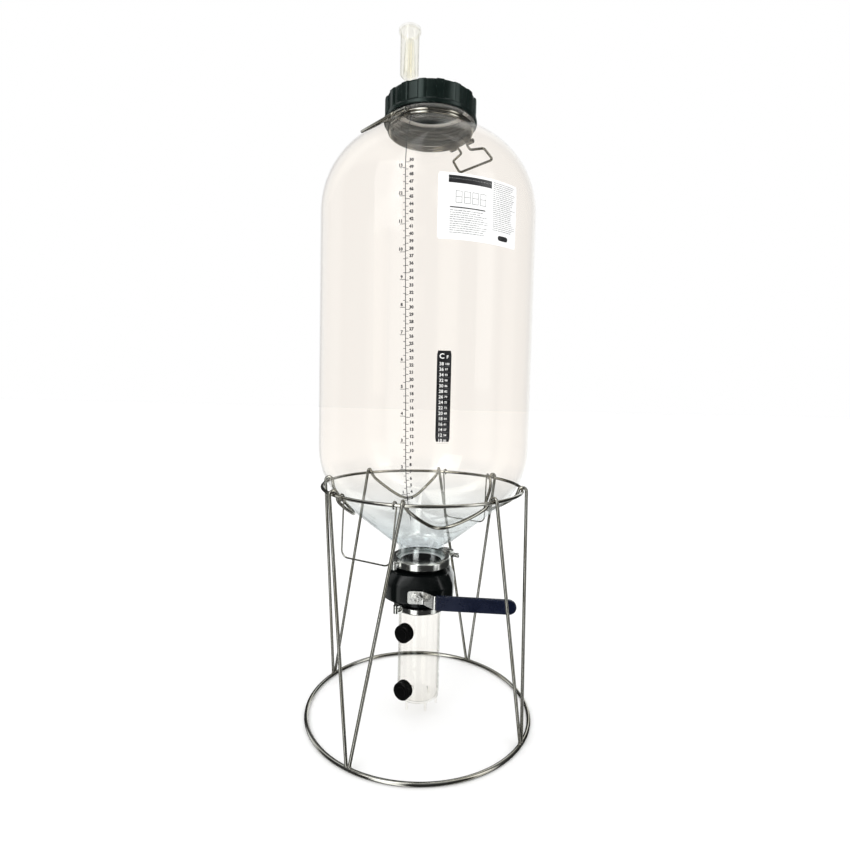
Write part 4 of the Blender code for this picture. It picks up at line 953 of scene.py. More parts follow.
def make_drop_handle(name, azimuth, taper):
    """A wire bail that hangs from the top ring by two open eyes."""
    out = Vector((cos(azimuth), sin(azimuth), 0.0))
    side = Vector((-sin(azimuth), cos(azimuth), 0.0))
    up = Vector((0.0, 0.0, 1.0))
    half = TOP_RING_R * sin(DROP_HALF_ANGLE)
    centre = out * TOP_RING_R * cos(DROP_HALF_ANGLE) + up * TOP_RING_Z
    eye = [(out * cos(a) + up * sin(a)) * EYE_R
           for a in (radians(-70 + 250 * i / 26) for i in range(27))]
    drop = up * -DROP_LENGTH - out * EYE_R * 0.2
    arm_top = -out * EYE_R - up * 6.0 * MM
    bail = [centre - side * half + arm_top, centre - side * (half - taper[0]) + drop,
            centre + side * (half - taper[1]) + drop, centre + side * half + arm_top]
    path = [centre - side * half + point for point in eye]
    path += rounded(bail, 12.0 * MM)
    path += [centre + side * half + point for point in reversed(eye)]
    stands_for(rod(name + "_bail", path, DROP_WIRE, ROD), name)


# ============================ collar and carry handles ===============================================

def make_collar():
    beads = []
    for label, z in zip(("lower", "upper"), COLLAR_Z):
        wire = rod(f"collar_wire_{label}", circle(COLLAR_R, z), COLLAR_WIRE, RING, True)
        stands_for(wire, f"neck_ring_{label}")
    middle = sum(COLLAR_Z) / 2
    for azimuth in (PIVOT_AZIMUTH, PIVOT_AZIMUTH + pi):
        for spread in (-0.26, 0.26):
            for z in COLLAR_Z:
                place = polar(COLLAR_R + 1.4 * MM, azimuth + spread, z * 0.6 + middle * 0.4)
                beads.append((place, (1.5 * MM, 3.4 * MM, 1.3 * MM)))
    weld_piece("collar_welds", beads, "neck_ring_upper", 21)


def make_carry_handle(name, azimuth):
    out = Vector((cos(azimuth), sin(azimuth), 0.0))
    side = Vector((-sin(azimuth), cos(azimuth), 0.0))
    up = Vector((0.0, 0.0, 1.0))
    hinge = out * PIVOT_R + up * PIVOT_Z
    lie = out * cos(HANDLE_DROOP) - up * sin(HANDLE_DROOP)
    near, far = PIVOT_TUBE_SPAN
    neck = near - HANDLE_BEND - 0.2 * MM
    half_shoulder, shoulder = HANDLE_SHOULDER
    outline = [(-far + 1.0 * MM, 0.0), (-neck, 0.0), (-neck, shoulder - 7.0 * MM),
               (-half_shoulder, shoulder), (-HANDLE_HALF_GRIP, HANDLE_REACH)]
    outline += [(-u, w) for u, w in reversed(outline)]
    path = rounded([hinge + side * u + lie * w for u, w in outline], HANDLE_BEND)
    stands_for(rod(name + "_wire", path, HANDLE_WIRE, RING), name)
    for label, sign in (("left", -1), ("right", 1)):
        tube = turned(f"{name}_sleeve_{label}", ring(HANDLE_WIRE + GAP, PIVOT_TUBE_R, near, far), RING, 32,
                      fillet=0.5 * MM)
        tube.rotation_euler = (side * sign).to_track_quat("Z", "Y").to_euler()
        tube.location = hinge
        stands_for(tube, f"{name}_tube_{label}")


# ===================================== lid ============================================================

def ridged(base, proud):
    """Radius of the lid's side: broad flat ridges with rounded shoulders."""
    def radius(a):
        pitch = 2 * pi / LID_RIDGES
        t = abs((a / pitch) % 1.0 - 0.5)
        rise = min(max((RIDGE_SHARE / 2 + 0.05 - t) / 0.06, 0.0), 1.0)
        return base + proud * rise * rise * (3 - 2 * rise)
    return radius


def make_lid():
    top, low = LID_HIGH.z, LID_LOW.z
    under = top - LID_PLATE
    crown = [(0.0, top - 0.6 * MM), (30.0 * MM, top - 0.6 * MM), (31.0 * MM, top - 1.4 * MM),
             (52.0 * MM, top - 1.4 * MM), (53.5 * MM, top), (68.0 * MM, top)]
    rows = soften(crown, 0.5 * MM, False)
    side = [(LID_R - 2.2 * MM, top, 0.35), (LID_R - 0.7 * MM, top - 0.8 * MM, 0.7),
            (LID_R - 0.1 * MM, top - 2.2 * MM, 1.0), (LID_R, top - 5.0 * MM, 1.0),
            (LID_R, low + 10.4 * MM, 1.0), (LID_R + 0.3 * MM, low + 8.6 * MM, 1.0),
            (LID_R + 1.2 * MM, low + 7.4 * MM, 0.5), (LID_R + 2.6 * MM, low + 6.7 * MM, 0.0)]
    rows += [(ridged(r, RIDGE_PROUD * share), z) for r, z, share in side]
    flange = [(LID_FLANGE_R - 0.8 * MM, low + 6.2 * MM), (LID_FLANGE_R - 0.1 * MM, low + 5.2 * MM),
              (LID_FLANGE_R - 0.1 * MM, low + 1.0 * MM), (LID_FLANGE_R - 0.8 * MM, low),
              (LID_BORE + 2.8 * MM, low), (LID_BORE + 1.4 * MM, low + 1.0 * MM), (LID_BORE, low + 4.0 * MM),
              (LID_BORE, under), (60.0 * MM, under), (59.6 * MM, under - 2.0 * MM),
              (57.6 * MM, under - 2.0 * MM), (57.2 * MM, under), (54.6 * MM, under),
              (54.0 * MM, under - 4.0 * MM), (51.0 * MM, under - 4.0 * MM), (50.4 * MM, under),
              (44.0 * MM, under), (43.4 * MM, under - 1.0 * MM), (28.0 * MM, under - 1.0 * MM),
              (27.4 * MM, under), (0.0, under)]
    rows += soften(flange, 0.35 * MM, False)
    lid = lofted("lid_shell", rows, LID_BLACK, 16 * LID_RIDGES, closed=False)
    hole = cylinder("lid_hole", 9.3 * MM, (AIRLOCK_X, 0, under - 10 * MM), (AIRLOCK_X, 0, top + 10 * MM))
    stands_for(cut(lid, [hole]), "lid")
    thread = helix("lid_thread", LID_BORE, low + 7.0 * MM, 6.0 * MM, 3.0, 0.8 * MM, 2.6 * MM, LID_BLACK, True)
    goes_with(thread, "lid")
    seal_low = TANK_HIGH.z + GAP
    seal_outline = ring(NECK_BORE - 3.0 * MM, LID_BORE - 1.0 * MM, seal_low, seal_low + 3.0 * MM)
    seal = turned("lid_seal_ring", seal_outline, SILICONE, 128, fillet=0.8 * MM)
    stands_for(seal, "lid_seal")


def make_airlock():
    """A three-piece airlock: body with a centre tube, floating bubbler and cap."""
    lid_top = LID_HIGH.z
    under = lid_top - LID_PLATE
    grommet = [(11.5 * MM, lid_top + 2.4 * MM), (12.0 * MM, lid_top + GAP), (9.0 * MM, lid_top + GAP),
               (9.0 * MM, under - GAP), (11.5 * MM, under - GAP), (10.5 * MM, under - 2.2 * MM),
               (STEM_R + GAP, under - 2.2 * MM), (STEM_R + GAP, lid_top + 2.4 * MM)]
    tube_in, tube_out = STEM_R - 1.3 * MM, STEM_R
    inside = AIRLOCK_R - AIRLOCK_WALL
    rim = AIRLOCK_R + 1.0 * MM
    body = [(rim, AIRLOCK_RIM), (rim, AIRLOCK_RIM - 2.0 * MM), (AIRLOCK_R, AIRLOCK_RIM - 3.0 * MM),
            (AIRLOCK_R - 0.15 * MM, AIRLOCK_BASE + 2.0 * MM), (10.5 * MM, AIRLOCK_BASE - 4.2 * MM),
            (tube_out, AIRLOCK_BASE - 4.4 * MM), (tube_out, under - 6.0 * MM),
            (tube_out - 0.5 * MM, under - 8.0 * MM),
            (tube_in, under - 8.0 * MM), (tube_in, AIRLOCK_RIM - 17.0 * MM),
            (tube_out - 0.2 * MM, AIRLOCK_RIM - 17.0 * MM), (tube_out - 0.1 * MM, AIRLOCK_BASE - 2.6 * MM),
            (9.5 * MM, AIRLOCK_BASE - 2.6 * MM), (inside, AIRLOCK_BASE + 1.0 * MM), (inside, AIRLOCK_RIM)]
    bubble_top = AIRLOCK_RIM - 13.0 * MM
    bubble_low = AIRLOCK_BASE + 1.5 * MM
    bubble = [(0.0, bubble_top), (4.0 * MM, bubble_top), (BUBBLER_R - 2.5 * MM, bubble_top - 3.0 * MM),
              (BUBBLER_R, bubble_low), (BUBBLER_R - 1.2 * MM, bubble_low),
              (BUBBLER_R - 3.7 * MM, bubble_top - 2.6 * MM), (0.0, bubble_top - 2.6 * MM)]
    skirt = rim + GAP
    skirt_low = AIRLOCK_RIM - 2.2 * MM
    cap = [(0.0, AIRLOCK_TOP - 0.5 * MM), (5.0 * MM, AIRLOCK_TOP - 0.5 * MM), (6.0 * MM, AIRLOCK_TOP),
           (AIRLOCK_CAP_R - 2.0 * MM, AIRLOCK_TOP), (AIRLOCK_CAP_R, AIRLOCK_TOP - 1.6 * MM),
           (AIRLOCK_CAP_R, skirt_low), (skirt, skirt_low), (skirt, AIRLOCK_RIM + 1.0 * MM),
           (inside, AIRLOCK_TOP - 1.5 * MM), (0.0, AIRLOCK_TOP - 1.5 * MM)]
    places = (("airlock_grommet", "grommet", grommet, RUBBER, True, 0.8 * MM),
              ("airlock_body", "airlock_tube", body, STYRENE, True, 0.5 * MM),
              ("airlock_bubbler", "airlock_float", bubble, STYRENE, False, 0.6 * MM),
              ("airlock_cap", "airlock_lid", cap, STYRENE, False, 0.8 * MM))
    for cad_node, name, profile, surface, closed, fillet in places:
        piece = turned(name, profile, surface, 64, closed, fillet)
        if cad_node == "airlock_cap":
            holes = [cylinder(f"vent_{i}", 0.8 * MM, (0, 0, AIRLOCK_TOP - 4 * MM),
                              (0, 0, AIRLOCK_TOP + 4 * MM), None, 12) for i in range(4)]
            for i, hole in enumerate(holes):
                hole.location += polar(9.0 * MM, i * pi / 2 + pi / 4, 0.0)
            piece = cut(piece, holes)
        piece.location = (AIRLOCK_X, 0.0, 0.0)
        stands_for(piece, cad_node)


# ===================================== valve ==========================================================

def square(round_r, blend, half=VALVE_HALF, chamfer=VALVE_CHAMFER):
    """Radius between a circle (blend 0) and a square with chamfered, rounded corners (blend 1)."""
    faces = [(k * pi / 2, half) for k in range(4)]
    corner = (2 * half - chamfer) / sqrt(2)
    faces += [(pi / 4 + k * pi / 2, corner) for k in range(4)]

    def radius(a):
        power = 26.0
        total = sum(max(cos(a - way), 0.0) ** power / reach ** power for way, reach in faces)
        flat = total ** (-1 / power)
        return round_r + (flat - round_r) * blend
    return radius


def make_valve_body():
    top, low = VALVE_HIGH.z, VALVE_LOW.z
    flange = [(UPPER_FLANGE_R, top), (UPPER_FLANGE_R, top - 3.4 * MM), (42.0 * MM, top - 5.8 * MM),
              (42.0 * MM, top - 8.0 * MM)]
    rows = soften(flange, 0.5 * MM, False)
    half = VALVE_HALF
    shoulder = [(260.0, 42.0, 0.0), (259.0, 43.2, 0.16), (258.2, 44.0, 0.36), (256.8, 44.0, 0.54),
                (252.0, 44.0, 0.70), (247.0, 44.0, 0.82), (243.0, 44.0, 0.91), (240.5, 44.0, 0.96),
                (238.0, 44.0, 0.99), (235.0, 44.0, 1.0), (216.0, 44.0, 1.0), (213.8, 44.0, 0.985),
                (212.6, 44.0, 0.95), (212.1, 44.0, 0.88), (212.0, 44.0, 0.5), (211.9, 44.0, 0.02),
                (211.0, 44.0, 0.0), (202.0, 44.0, 0.0), (201.2, 43.8, 0.0), (200.6, 43.0, 0.0)]
    rows += [(square(r * MM, blend, half - 0.02 * MM), z * MM) for z, r, blend in shoulder]
    tail = [(35.6 * MM, low + 6.4 * MM), (35.6 * MM, low + 3.4 * MM), (LOWER_FLANGE_R, low + 2.2 * MM),
            (LOWER_FLANGE_R, low), (VALVE_OUTLET, low), (VALVE_OUTLET, 203.0 * MM), (34.0 * MM, 208.0 * MM),
            (VALVE_BORE, VALVE_Z - LINER_HALF - GAP), (LINER_R + GAP, VALVE_Z - LINER_HALF - GAP),
            (LINER_R + GAP, VALVE_Z + LINER_HALF + GAP), (VALVE_BORE, VALVE_Z + LINER_HALF + GAP),
            (VALVE_BORE, top)]
    rows += soften(tail, 0.3 * MM, False)
    body = lofted("valve_housing", rows, BLACK, 160)
    hole = cylinder("shaft_hole", BUSH_R + GAP, (0, -90 * MM, VALVE_Z), (0, 52 * MM, VALVE_Z))
    body = cut(body, [hole])
    stands_for(body, "valve_body")
    make_valve_screws()


def make_valve_screws():
    """Cap screws that close the two halves of the housing, one in each corner."""
    heads = []
    for k in range(4):
        azimuth = pi / 4 + k * pi / 2
        screw = turned(f"screw_{k}", [(0.0, 249.2 * MM), (2.6 * MM, 249.2 * MM), (2.6 * MM, 244.0 * MM),
                                      (0.0, 244.0 * MM)], None, 24, False, 0.5 * MM)
        socket = lofted(f"socket_{k}", [(0.0, 250.0 * MM), (1.5 * MM, 250.0 * MM), (1.5 * MM, 247.6 * MM),
                                        (0.0, 247.6 * MM)], None, 6, False)
        screw = cut(screw, [socket])
        screw.location = polar(58.0 * MM, azimuth, -0.6 * MM)
        heads.append(screw)
    goes_with(merged("housing_screws", heads, CAST), "valve_body")


def make_valve_inside():
    liner = turned("seat_liner", ring(DISC_R + GAP, LINER_R, VALVE_Z - LINER_HALF, VALVE_Z + LINER_HALF),
                   SILICONE, 96, fillet=1.0 * MM)
    hole = cylinder("liner_hole", SHAFT_R + GAP, (0, -60 * MM, VALVE_Z), (0, 60 * MM, VALVE_Z))
    stands_for(cut(liner, [hole]), "valve_liner")
    spans = (("stem_bush_front", 42.0 * MM, 58.6 * MM, BLACK),
             ("stem_bush_back", -51.6 * MM, -41.0 * MM, BLACK),
             ("stem_seal", 40.3 * MM, 41.6 * MM, RUBBER))
    for cad_node, start, end, surface in spans:
        bush = turned(cad_node + "_turned", ring(SHAFT_R + GAP, BUSH_R, start, end), surface, 48)
        stands_for(along_y(bush, VALVE_Z), cad_node)


def lever_outline():
    """Plan of the lever strip: two straights and a step between them, with bent corners."""
    step, rise = LEVER_STEP, LEVER_OFFSET
    outer = LEVER_Y - LEVER_PLATE
    start, end = LEVER_START, LEVER_TIP - 6.0 * MM
    inner_side = [(start, LEVER_Y), (step, LEVER_Y), (step + rise, LEVER_Y - rise), (end, LEVER_Y - rise)]
    outer_side = [(end, outer - rise), (step + rise - 1.0 * MM, outer - rise), (step - 1.0 * MM, outer),
                  (start, outer)]
    return soften(inner_side, 5.0 * MM, False, 6) + soften(outer_side, 5.0 * MM, False, 6)


def make_lever():
    front, back = 74.0 * MM, -51.0 * MM
    stem = turned("stem_rod", [(0.0, front), (SHAFT_R - 0.8 * MM, front), (SHAFT_R - 0.1 * MM, front - 0.8 * MM),
                               (SHAFT_R - 0.1 * MM, back), (0.0, back)], STAMPED, 48, False, 0.2 * MM)
    socket = lofted("stem_socket", [(0.0, front + 1 * MM), (2.9 * MM, front + 1 * MM), (2.9 * MM, front - 4 * MM),
                                    (0.0, front - 4 * MM)], None, 6, False)
    stem = cut(stem, [socket])
    stands_for(along_y(stem, VALVE_Z), "valve_stem")
    thread = helix("stem_thread", SHAFT_R - 0.4 * MM, 64.6 * MM, 1.0 * MM, 8.0, 0.4 * MM, 0.8 * MM, STAMPED)
    goes_with(along_y(thread, VALVE_Z), "valve_stem")
    disc = turned("butterfly", [(0.0, 2.5 * MM), (DISC_R - 9.0 * MM, 2.5 * MM), (DISC_R - 1.5 * MM, 2.0 * MM),
                                (DISC_R, 0.8 * MM), (DISC_R, -0.8 * MM), (DISC_R - 1.5 * MM, -2.0 * MM),
                                (DISC_R - 9.0 * MM, -2.5 * MM), (0.0, -2.5 * MM)], BLACK, 96, False, 0.6 * MM)
    disc.location = (0, 0, VALVE_Z)
    hub = cylinder("disc_hub", 7.95 * MM, (0, -32.9 * MM, VALVE_Z), (0, 32.9 * MM, VALVE_Z))
    bore = cylinder("disc_bore", SHAFT_R + GAP, (0, -50 * MM, VALVE_Z), (0, 50 * MM, VALVE_Z))
    disc = cut(cut(disc, [hub], "UNION"), [bore])
    stands_for(disc, "valve_disc")
    washer = turned("washer", ring(SHAFT_R + GAP, 9.5 * MM, 59.4 * MM, 61.0 * MM), STAMPED, 48)
    stands_for(along_y(washer, VALVE_Z), "stem_washer")
    make_lever_plate()
    make_stem_nut()
    make_sleeve()


def make_lever_plate():
    """A stamped strip with rounded ends, cut from the stepped plan."""
    plate = prism("lever_strip", lever_outline(), VALVE_Z - LEVER_HALF, VALVE_Z + LEVER_HALF, STAMPED, 0.5 * MM)
    side = soften([(LEVER_START, -LEVER_HALF), (200.0 * MM, -LEVER_HALF), (200.0 * MM, LEVER_HALF),
                   (LEVER_START, LEVER_HALF)], 5.0 * MM, True, 8)
    form = prism("lever_form", side, 40 * MM, 110 * MM)
    form.rotation_euler = (pi / 2, 0.0, 0.0)
    form.location = (0.0, 0.0, VALVE_Z)
    plate = cut(plate, [form], "INTERSECT")
    hole = cylinder("lever_hole", SHAFT_R + GAP, (0, -80 * MM, VALVE_Z), (0, -50 * MM, VALVE_Z))
    plate = cut(plate, [hole])
    edge = plate.modifiers.new("soften", "BEVEL")
    edge.width = 0.35 * MM
    edge.segments = 2
    edge.limit_method = "ANGLE"
    edge.angle_limit = radians(50.0)
    stands_for(settled(plate), "lever_plate")


def make_stem_nut():
    """A hexagon nut with turned chamfers on its corners."""
    near = -LEVER_Y + LEVER_PLATE + GAP
    far = near + NUT_HEIGHT
    flats = lofted("nut_hex", [(0.0, far), (NUT_R, far), (NUT_R, near), (0.0, near)], STAMPED, 6, False)
    crown = turned("nut_crown", [(0.0, far), (8.0 * MM, far), (9.6 * MM, far - 1.2 * MM), (9.6 * MM, near),
                                 (0.0, near)], None, 48, False, 0.3 * MM)
    bore = cylinder("nut_bore", SHAFT_R + GAP, (0, 0, near - 9 * MM), (0, 0, far + 9 * MM))
    nut = cut(cut(flats, [crown], "INTERSECT"), [bore])
    stands_for(along_y(nut, VALVE_Z), "stem_nut")


def make_sleeve():
    """A dipped vinyl grip with a rolled lip at its mouth and a blunt round tip."""
    middle = LEVER_Y - LEVER_OFFSET - LEVER_PLATE / 2
    start = SLEEVE_START
    tip_x = LEVER_TIP - SLEEVE_HALF
    outline = [(start, -SLEEVE_HALF)] + arc((tip_x, 0.0), SLEEVE_HALF, -pi / 2, pi / 2, 24)
    outline.append((start, SLEEVE_HALF))
    sleeve = prism("grip_skin", outline, -SLEEVE_THICK, SLEEVE_THICK, VINYL, 2.6 * MM, 6)
    sleeve.rotation_euler = (pi / 2, 0.0, 0.0)
    sleeve.location = (0.0, middle, VALVE_Z)
    pocket_y = LEVER_PLATE / 2 + GAP
    pocket_z = LEVER_HALF + GAP
    pocket = prism("pocket", [(start - 20 * MM, -pocket_z), (LEVER_TIP - 5.7 * MM, -pocket_z),
                              (LEVER_TIP - 5.7 * MM, pocket_z), (start - 20 * MM, pocket_z)],
                   -pocket_y, pocket_y)
    pocket.rotation_euler = (pi / 2, 0.0, 0.0)
    pocket.location = (0.0, middle, VALVE_Z)
    stands_for(cut(sleeve, [pocket]), "lever_sleeve")


# ===================================== clamps =========================================================

def make_gaskets():
    outlet = turned("outlet_gasket_ring", ring(OUTLET_BORE, UPPER_FLANGE_R - 1.0 * MM, UPPER_CLAMP_Z - 0.45 * MM,
                                               UPPER_CLAMP_Z + 1.15 * MM), SILICONE, 96, fillet=0.4 * MM)
    stands_for(outlet, "outlet_gasket")
    jar = turned("jar_gasket_ring", ring(VALVE_OUTLET, LOWER_FLANGE_R - 0.8 * MM, JAR_TOP + GAP,
                                         VALVE_LOW.z - GAP), SILICONE, 96, fillet=0.4 * MM)
    stands_for(jar, "jar_gasket")


def hinge_knuckle(radius, side):
    centre = radius + 5.6 * MM
    inner = radius - 3.0 * MM
    points = [(-inner, 1.4 * MM), (-inner, 6.0 * MM)]
    points += [(-centre + x, y) for x, y in arc((0, 0), 4.95 * MM, pi / 2, 2 * pi, 24)]
    return [(x, y * side) for x, y in points]


def bolt_lug(radius, side):
    inner, outer = radius - 3.5 * MM, radius + 19.0 * MM
    pin_x, pin_y = radius + 12.0 * MM, -8.0 * MM
    if side < 0:
        return [(inner, -1.4 * MM), (inner, -6.0 * MM), (radius + 2.0 * MM, -15.0 * MM),
                (outer - 4.0 * MM, -15.0 * MM), (outer, -11.0 * MM), (outer, -1.4 * MM)]
    first = atan2(sqrt(NUT_FACE ** 2 - (outer - pin_x) ** 2), outer - pin_x)
    last = atan2(sqrt(NUT_FACE ** 2 - (inner - pin_x) ** 2), inner - pin_x)
    last = min(last, pi - asin(10.0 * MM / NUT_FACE))
    curve = arc((pin_x, pin_y), NUT_FACE, first, last, 14)
    return [(inner, 1.4 * MM), (outer, 1.4 * MM)] + curve + [(inner, curve[-1][1])]


def box(name, low, high):
    outline = [(low[0], low[1]), (high[0], low[1]), (high[0], high[1]), (low[0], high[1])]
    return prism(name, outline, low[2], high[2])


def clamp_half(prefix, label, side, radius, lip, groove, flange_half, half_height):
    bevel = min(2.5 * MM, half_height / 3)
    section = [(radius - bevel, half_height), (radius, half_height - bevel),
               (radius, bevel - half_height), (radius - bevel, -half_height), (lip, -half_height),
               (lip, -flange_half - 1.0 * MM), (groove, -flange_half - 0.4 * MM),
               (groove, flange_half + 0.4 * MM), (lip, flange_half + 1.0 * MM), (lip, half_height)]
    half = turned(f"{prefix}_shell_{label}", section, CAST, 120, fillet=0.8 * MM)
    wide = 2 * radius
    other = sorted((-side * wide, side * 1.2 * MM))
    away = box("away", (-wide, other[0], -wide), (wide, other[1], wide))
    half = cut(half, [away])
    joined = [prism("lug", bolt_lug(radius, side), -LUG_HALF, LUG_HALF, None, 1.0 * MM)]
    spans = [(-SLOT_HALF + GAP, SLOT_HALF - GAP)]
    if side < 0:
        spans = [(SLOT_HALF, LUG_HALF), (-LUG_HALF, -SLOT_HALF)]
    joined += [prism(f"knuckle_{i}", hinge_knuckle(radius, side), *span, None, 0.5 * MM)
               for i, span in enumerate(spans)]
    half = cut(half, joined, "UNION")
    hinge_x = -(radius + 5.6 * MM)
    holes = [box("slot", (radius + 4.5 * MM, -wide, -SLOT_HALF), (wide, wide, SLOT_HALF)),
             cylinder("hinge_hole", PIN_R + GAP, (hinge_x, 0, -wide), (hinge_x, 0, wide), None, 32)]
    if side < 0:
        pin_x = radius + 12.0 * MM
        holes.append(cylinder("pin_hole", PIN_R + GAP, (pin_x, -8.0 * MM, -wide),
                              (pin_x, -8.0 * MM, wide), None, 32))
    return cut(half, holes)


def pin(name, x, y):
    """A rivet with slightly domed ends."""
    tall = LUG_HALF + 0.75 * MM
    made = turned(name, [(0.0, tall), (PIN_R, tall - 0.3 * MM), (PIN_R, 0.3 * MM - tall), (0.0, -tall)],
                  CAST, 32, False, 0.3 * MM)
    made.location = (x, y, 0.0)
    return made


def wing_nut(name):
    """A wing nut about the bolt pin at the origin, shank on +Y."""
    face = NUT_FACE + 0.4 * MM
    hub = turned(name, [(0.0, face + 8.0 * MM), (4.2 * MM, face + 8.0 * MM), (5.9 * MM, face + 0.6 * MM),
                        (5.9 * MM, face), (0.0, face)], CAST, 48, False, 0.5 * MM)
    hub.rotation_euler = (-pi / 2, 0.0, 0.0)
    wings = []
    for sign in (-1, 1):
        low, high = face + 1.6 * MM, face + 9.3 * MM
        outline = [(2.5 * MM, low), (6.0 * MM, low + 0.4 * MM), (12.0 * MM, low + 3.0 * MM),
                   (12.0 * MM, high), (8.0 * MM, high - 0.6 * MM), (2.5 * MM, high - 4.0 * MM)]
        outline = soften([(x * sign, y) for x, y in outline], 2.2 * MM, True, 6)
        wings.append(prism(f"wing_{sign}", outline, -1.3 * MM, 1.3 * MM, None, 0.7 * MM))
    hub = cut(hub, wings, "UNION")
    bore = cylinder("nut_bore", 3.3 * MM, (0, 0, 0), (0, 50 * MM, 0), None, 32)
    return cut(hub, [bore])


def swing_bolt(name):
    """An eye bolt about its pin at the origin, shank on +Y, with a rolled thread."""
    eye = SLOT_HALF - GAP
    shank = 2.7 * MM
    bolt = turned(name, [(0.0, 36.0 * MM), (shank - 0.5 * MM, 36.0 * MM), (shank, 35.4 * MM), (shank, 3.5 * MM),
                         (0.0, 3.5 * MM)], CAST, 32, False, 0.3 * MM)
    bolt.rotation_euler = (-pi / 2, 0.0, 0.0)
    eye_ring = turned("eye", [(0.0, eye), (5.2 * MM, eye), (5.2 * MM, -eye), (0.0, -eye)], None, 48,
                      False, 0.8 * MM)
    bolt = cut(bolt, [eye_ring], "UNION")
    bolt = cut(bolt, [cylinder("eye_hole", PIN_R + GAP, (0, 0, -20 * MM), (0, 0, 20 * MM), None, 32)])
    thread = helix(name + "_thread", shank, 8.0 * MM, 1.25 * MM, 21.0, 0.3 * MM, 0.95 * MM, CAST)
    thread.rotation_euler = (-pi / 2, 0.0, 0.0)
    return bolt, thread


def make_clamp(prefix, radius, lip, groove, flange_half, half_height, z, azimuth, tip_over=0.0):
    """A hinged ferrule clamp, modelled with its bolt on +X, tipped over about X and then turned."""
    place = Matrix.Translation((0.0, 0.0, z)) @ Matrix.Rotation(azimuth, 4, "Z")
    place = place @ Matrix.Rotation(tip_over, 4, "X")
    pin_x = radius + 12.0 * MM
    pieces = []
    for label, side in (("left", 1), ("right", -1)):
        half = clamp_half(prefix, label, side, radius, lip, groove, flange_half, half_height)
        pieces.append((half, f"{prefix}_{label}", True, Matrix()))
    swing = Matrix.Translation((pin_x, -8.0 * MM, 0.0))
    hinge_rivet = pin(prefix + "_hinge_rivet", -(radius + 5.6 * MM), 0.0)
    pieces.append((hinge_rivet, prefix + "_hinge_pin", True, Matrix()))
    pieces.append((pin(prefix + "_bolt_rivet", pin_x, -8.0 * MM), prefix + "_bolt_pin", True, Matrix()))
    bolt, thread = swing_bolt(prefix + "_eye_bolt")
    pieces.append((bolt, prefix + "_bolt", True, swing))
    pieces.append((thread, prefix + "_bolt", False, swing))
    pieces.append((wing_nut(prefix + "_winged_nut"), prefix + "_wing_nut", True, swing))
    bpy.context.view_layer.update()
    for piece, cad_node, stands, shift in pieces:
        piece.matrix_world = place @ shift @ piece.matrix_world
        if stands:
            stands_for(piece, cad_node)
        else:
            goes_with(piece, cad_node)


def make_clamps():
    make_clamp("upper_clamp", 52.5 * MM, 43.0 * MM, UPPER_FLANGE_R + 0.7 * MM, 5.3 * MM, 7.4 * MM,
               UPPER_CLAMP_Z, CLAMP_AZIMUTH[0], pi)
    make_clamp("lower_clamp", 46.0 * MM, 36.4 * MM, LOWER_FLANGE_R + 0.6 * MM, 3.4 * MM, 5.5 * MM,
               LOWER_CLAMP_Z, CLAMP_AZIMUTH[1])


# ====================================== jar ============================================================

def port_place(obj, z):
    """Turn a piece modelled about Z so that its +Z points out of the jar at a port."""
    obj.rotation_euler = polar(1.0, PORT_AZIMUTH, 0.0).to_track_quat("Z", "Y").to_euler()
    obj.location = (0.0, 0.0, z)
    return obj


def make_jar():
    inside = JAR_R - JAR_WALL
    flange_low = JAR_TOP - 2.2 * MM
    outer = [(LOWER_FLANGE_R, JAR_TOP), (LOWER_FLANGE_R, flange_low), (35.4 * MM, flange_low - 0.9 * MM),
             (35.4 * MM, JAR_TOP - 6.5 * MM), (JAR_R, JAR_TOP - 9.0 * MM), (JAR_R, JAR_FLOOR + 4.0 * MM),
             (JAR_R - 3.5 * MM, JAR_FLOOR), (0.0, JAR_FLOOR)]
    inner = [(0.0, JAR_FLOOR + 2.4 * MM), (inside - 4.0 * MM, JAR_FLOOR + 2.6 * MM),
             (inside, JAR_FLOOR + 6.0 * MM), (inside, JAR_TOP - 10.0 * MM),
             (VALVE_OUTLET, JAR_TOP - 6.0 * MM), (VALVE_OUTLET, JAR_TOP)]
    jar = turned("jar_shell", inner + outer, JAR_CLEAR, 96, closed=False, fillet=1.0 * MM)
    joined, passages = [], []
    for i in range(JAR_FEET):
        azimuth = PORT_AZIMUTH - radians(6.0) + i * 2 * pi / JAR_FEET
        centre = polar(JAR_R - 4.6 * MM, azimuth, 0.0)
        foot = turned(f"foot_{i}", [(0.0, JAR_FLOOR + 1.5 * MM), (2.4 * MM, JAR_FLOOR + 1.5 * MM),
                                    (2.1 * MM, JAR_FOOT_Z), (0.0, JAR_FOOT_Z)], None, 24, False, 0.5 * MM)
        foot.location = centre
        joined.append(foot)
    for label, z in zip(("upper", "lower"), PORT_Z):
        start = JAR_R - 1.6 * MM
        spout = turned(f"spout_{label}", [(0.0, PORT_END), (PORT_R, PORT_END), (PORT_R, start), (0.0, start)],
                       None, 64, False, 0.5 * MM)
        joined.append(port_place(spout, z))
        passage = turned(f"bore_{label}", [(0.0, PORT_END + 20 * MM), (PORT_R - 2.4 * MM, PORT_END + 20 * MM),
                                           (PORT_R - 2.4 * MM, 20 * MM), (0.0, 20 * MM)], None, 64, False)
        passages.append(port_place(passage, z))
        make_port_cap(label, z)
    jar = cut(cut(jar, joined, "UNION"), passages)
    stands_for(jar, "collection_jar")


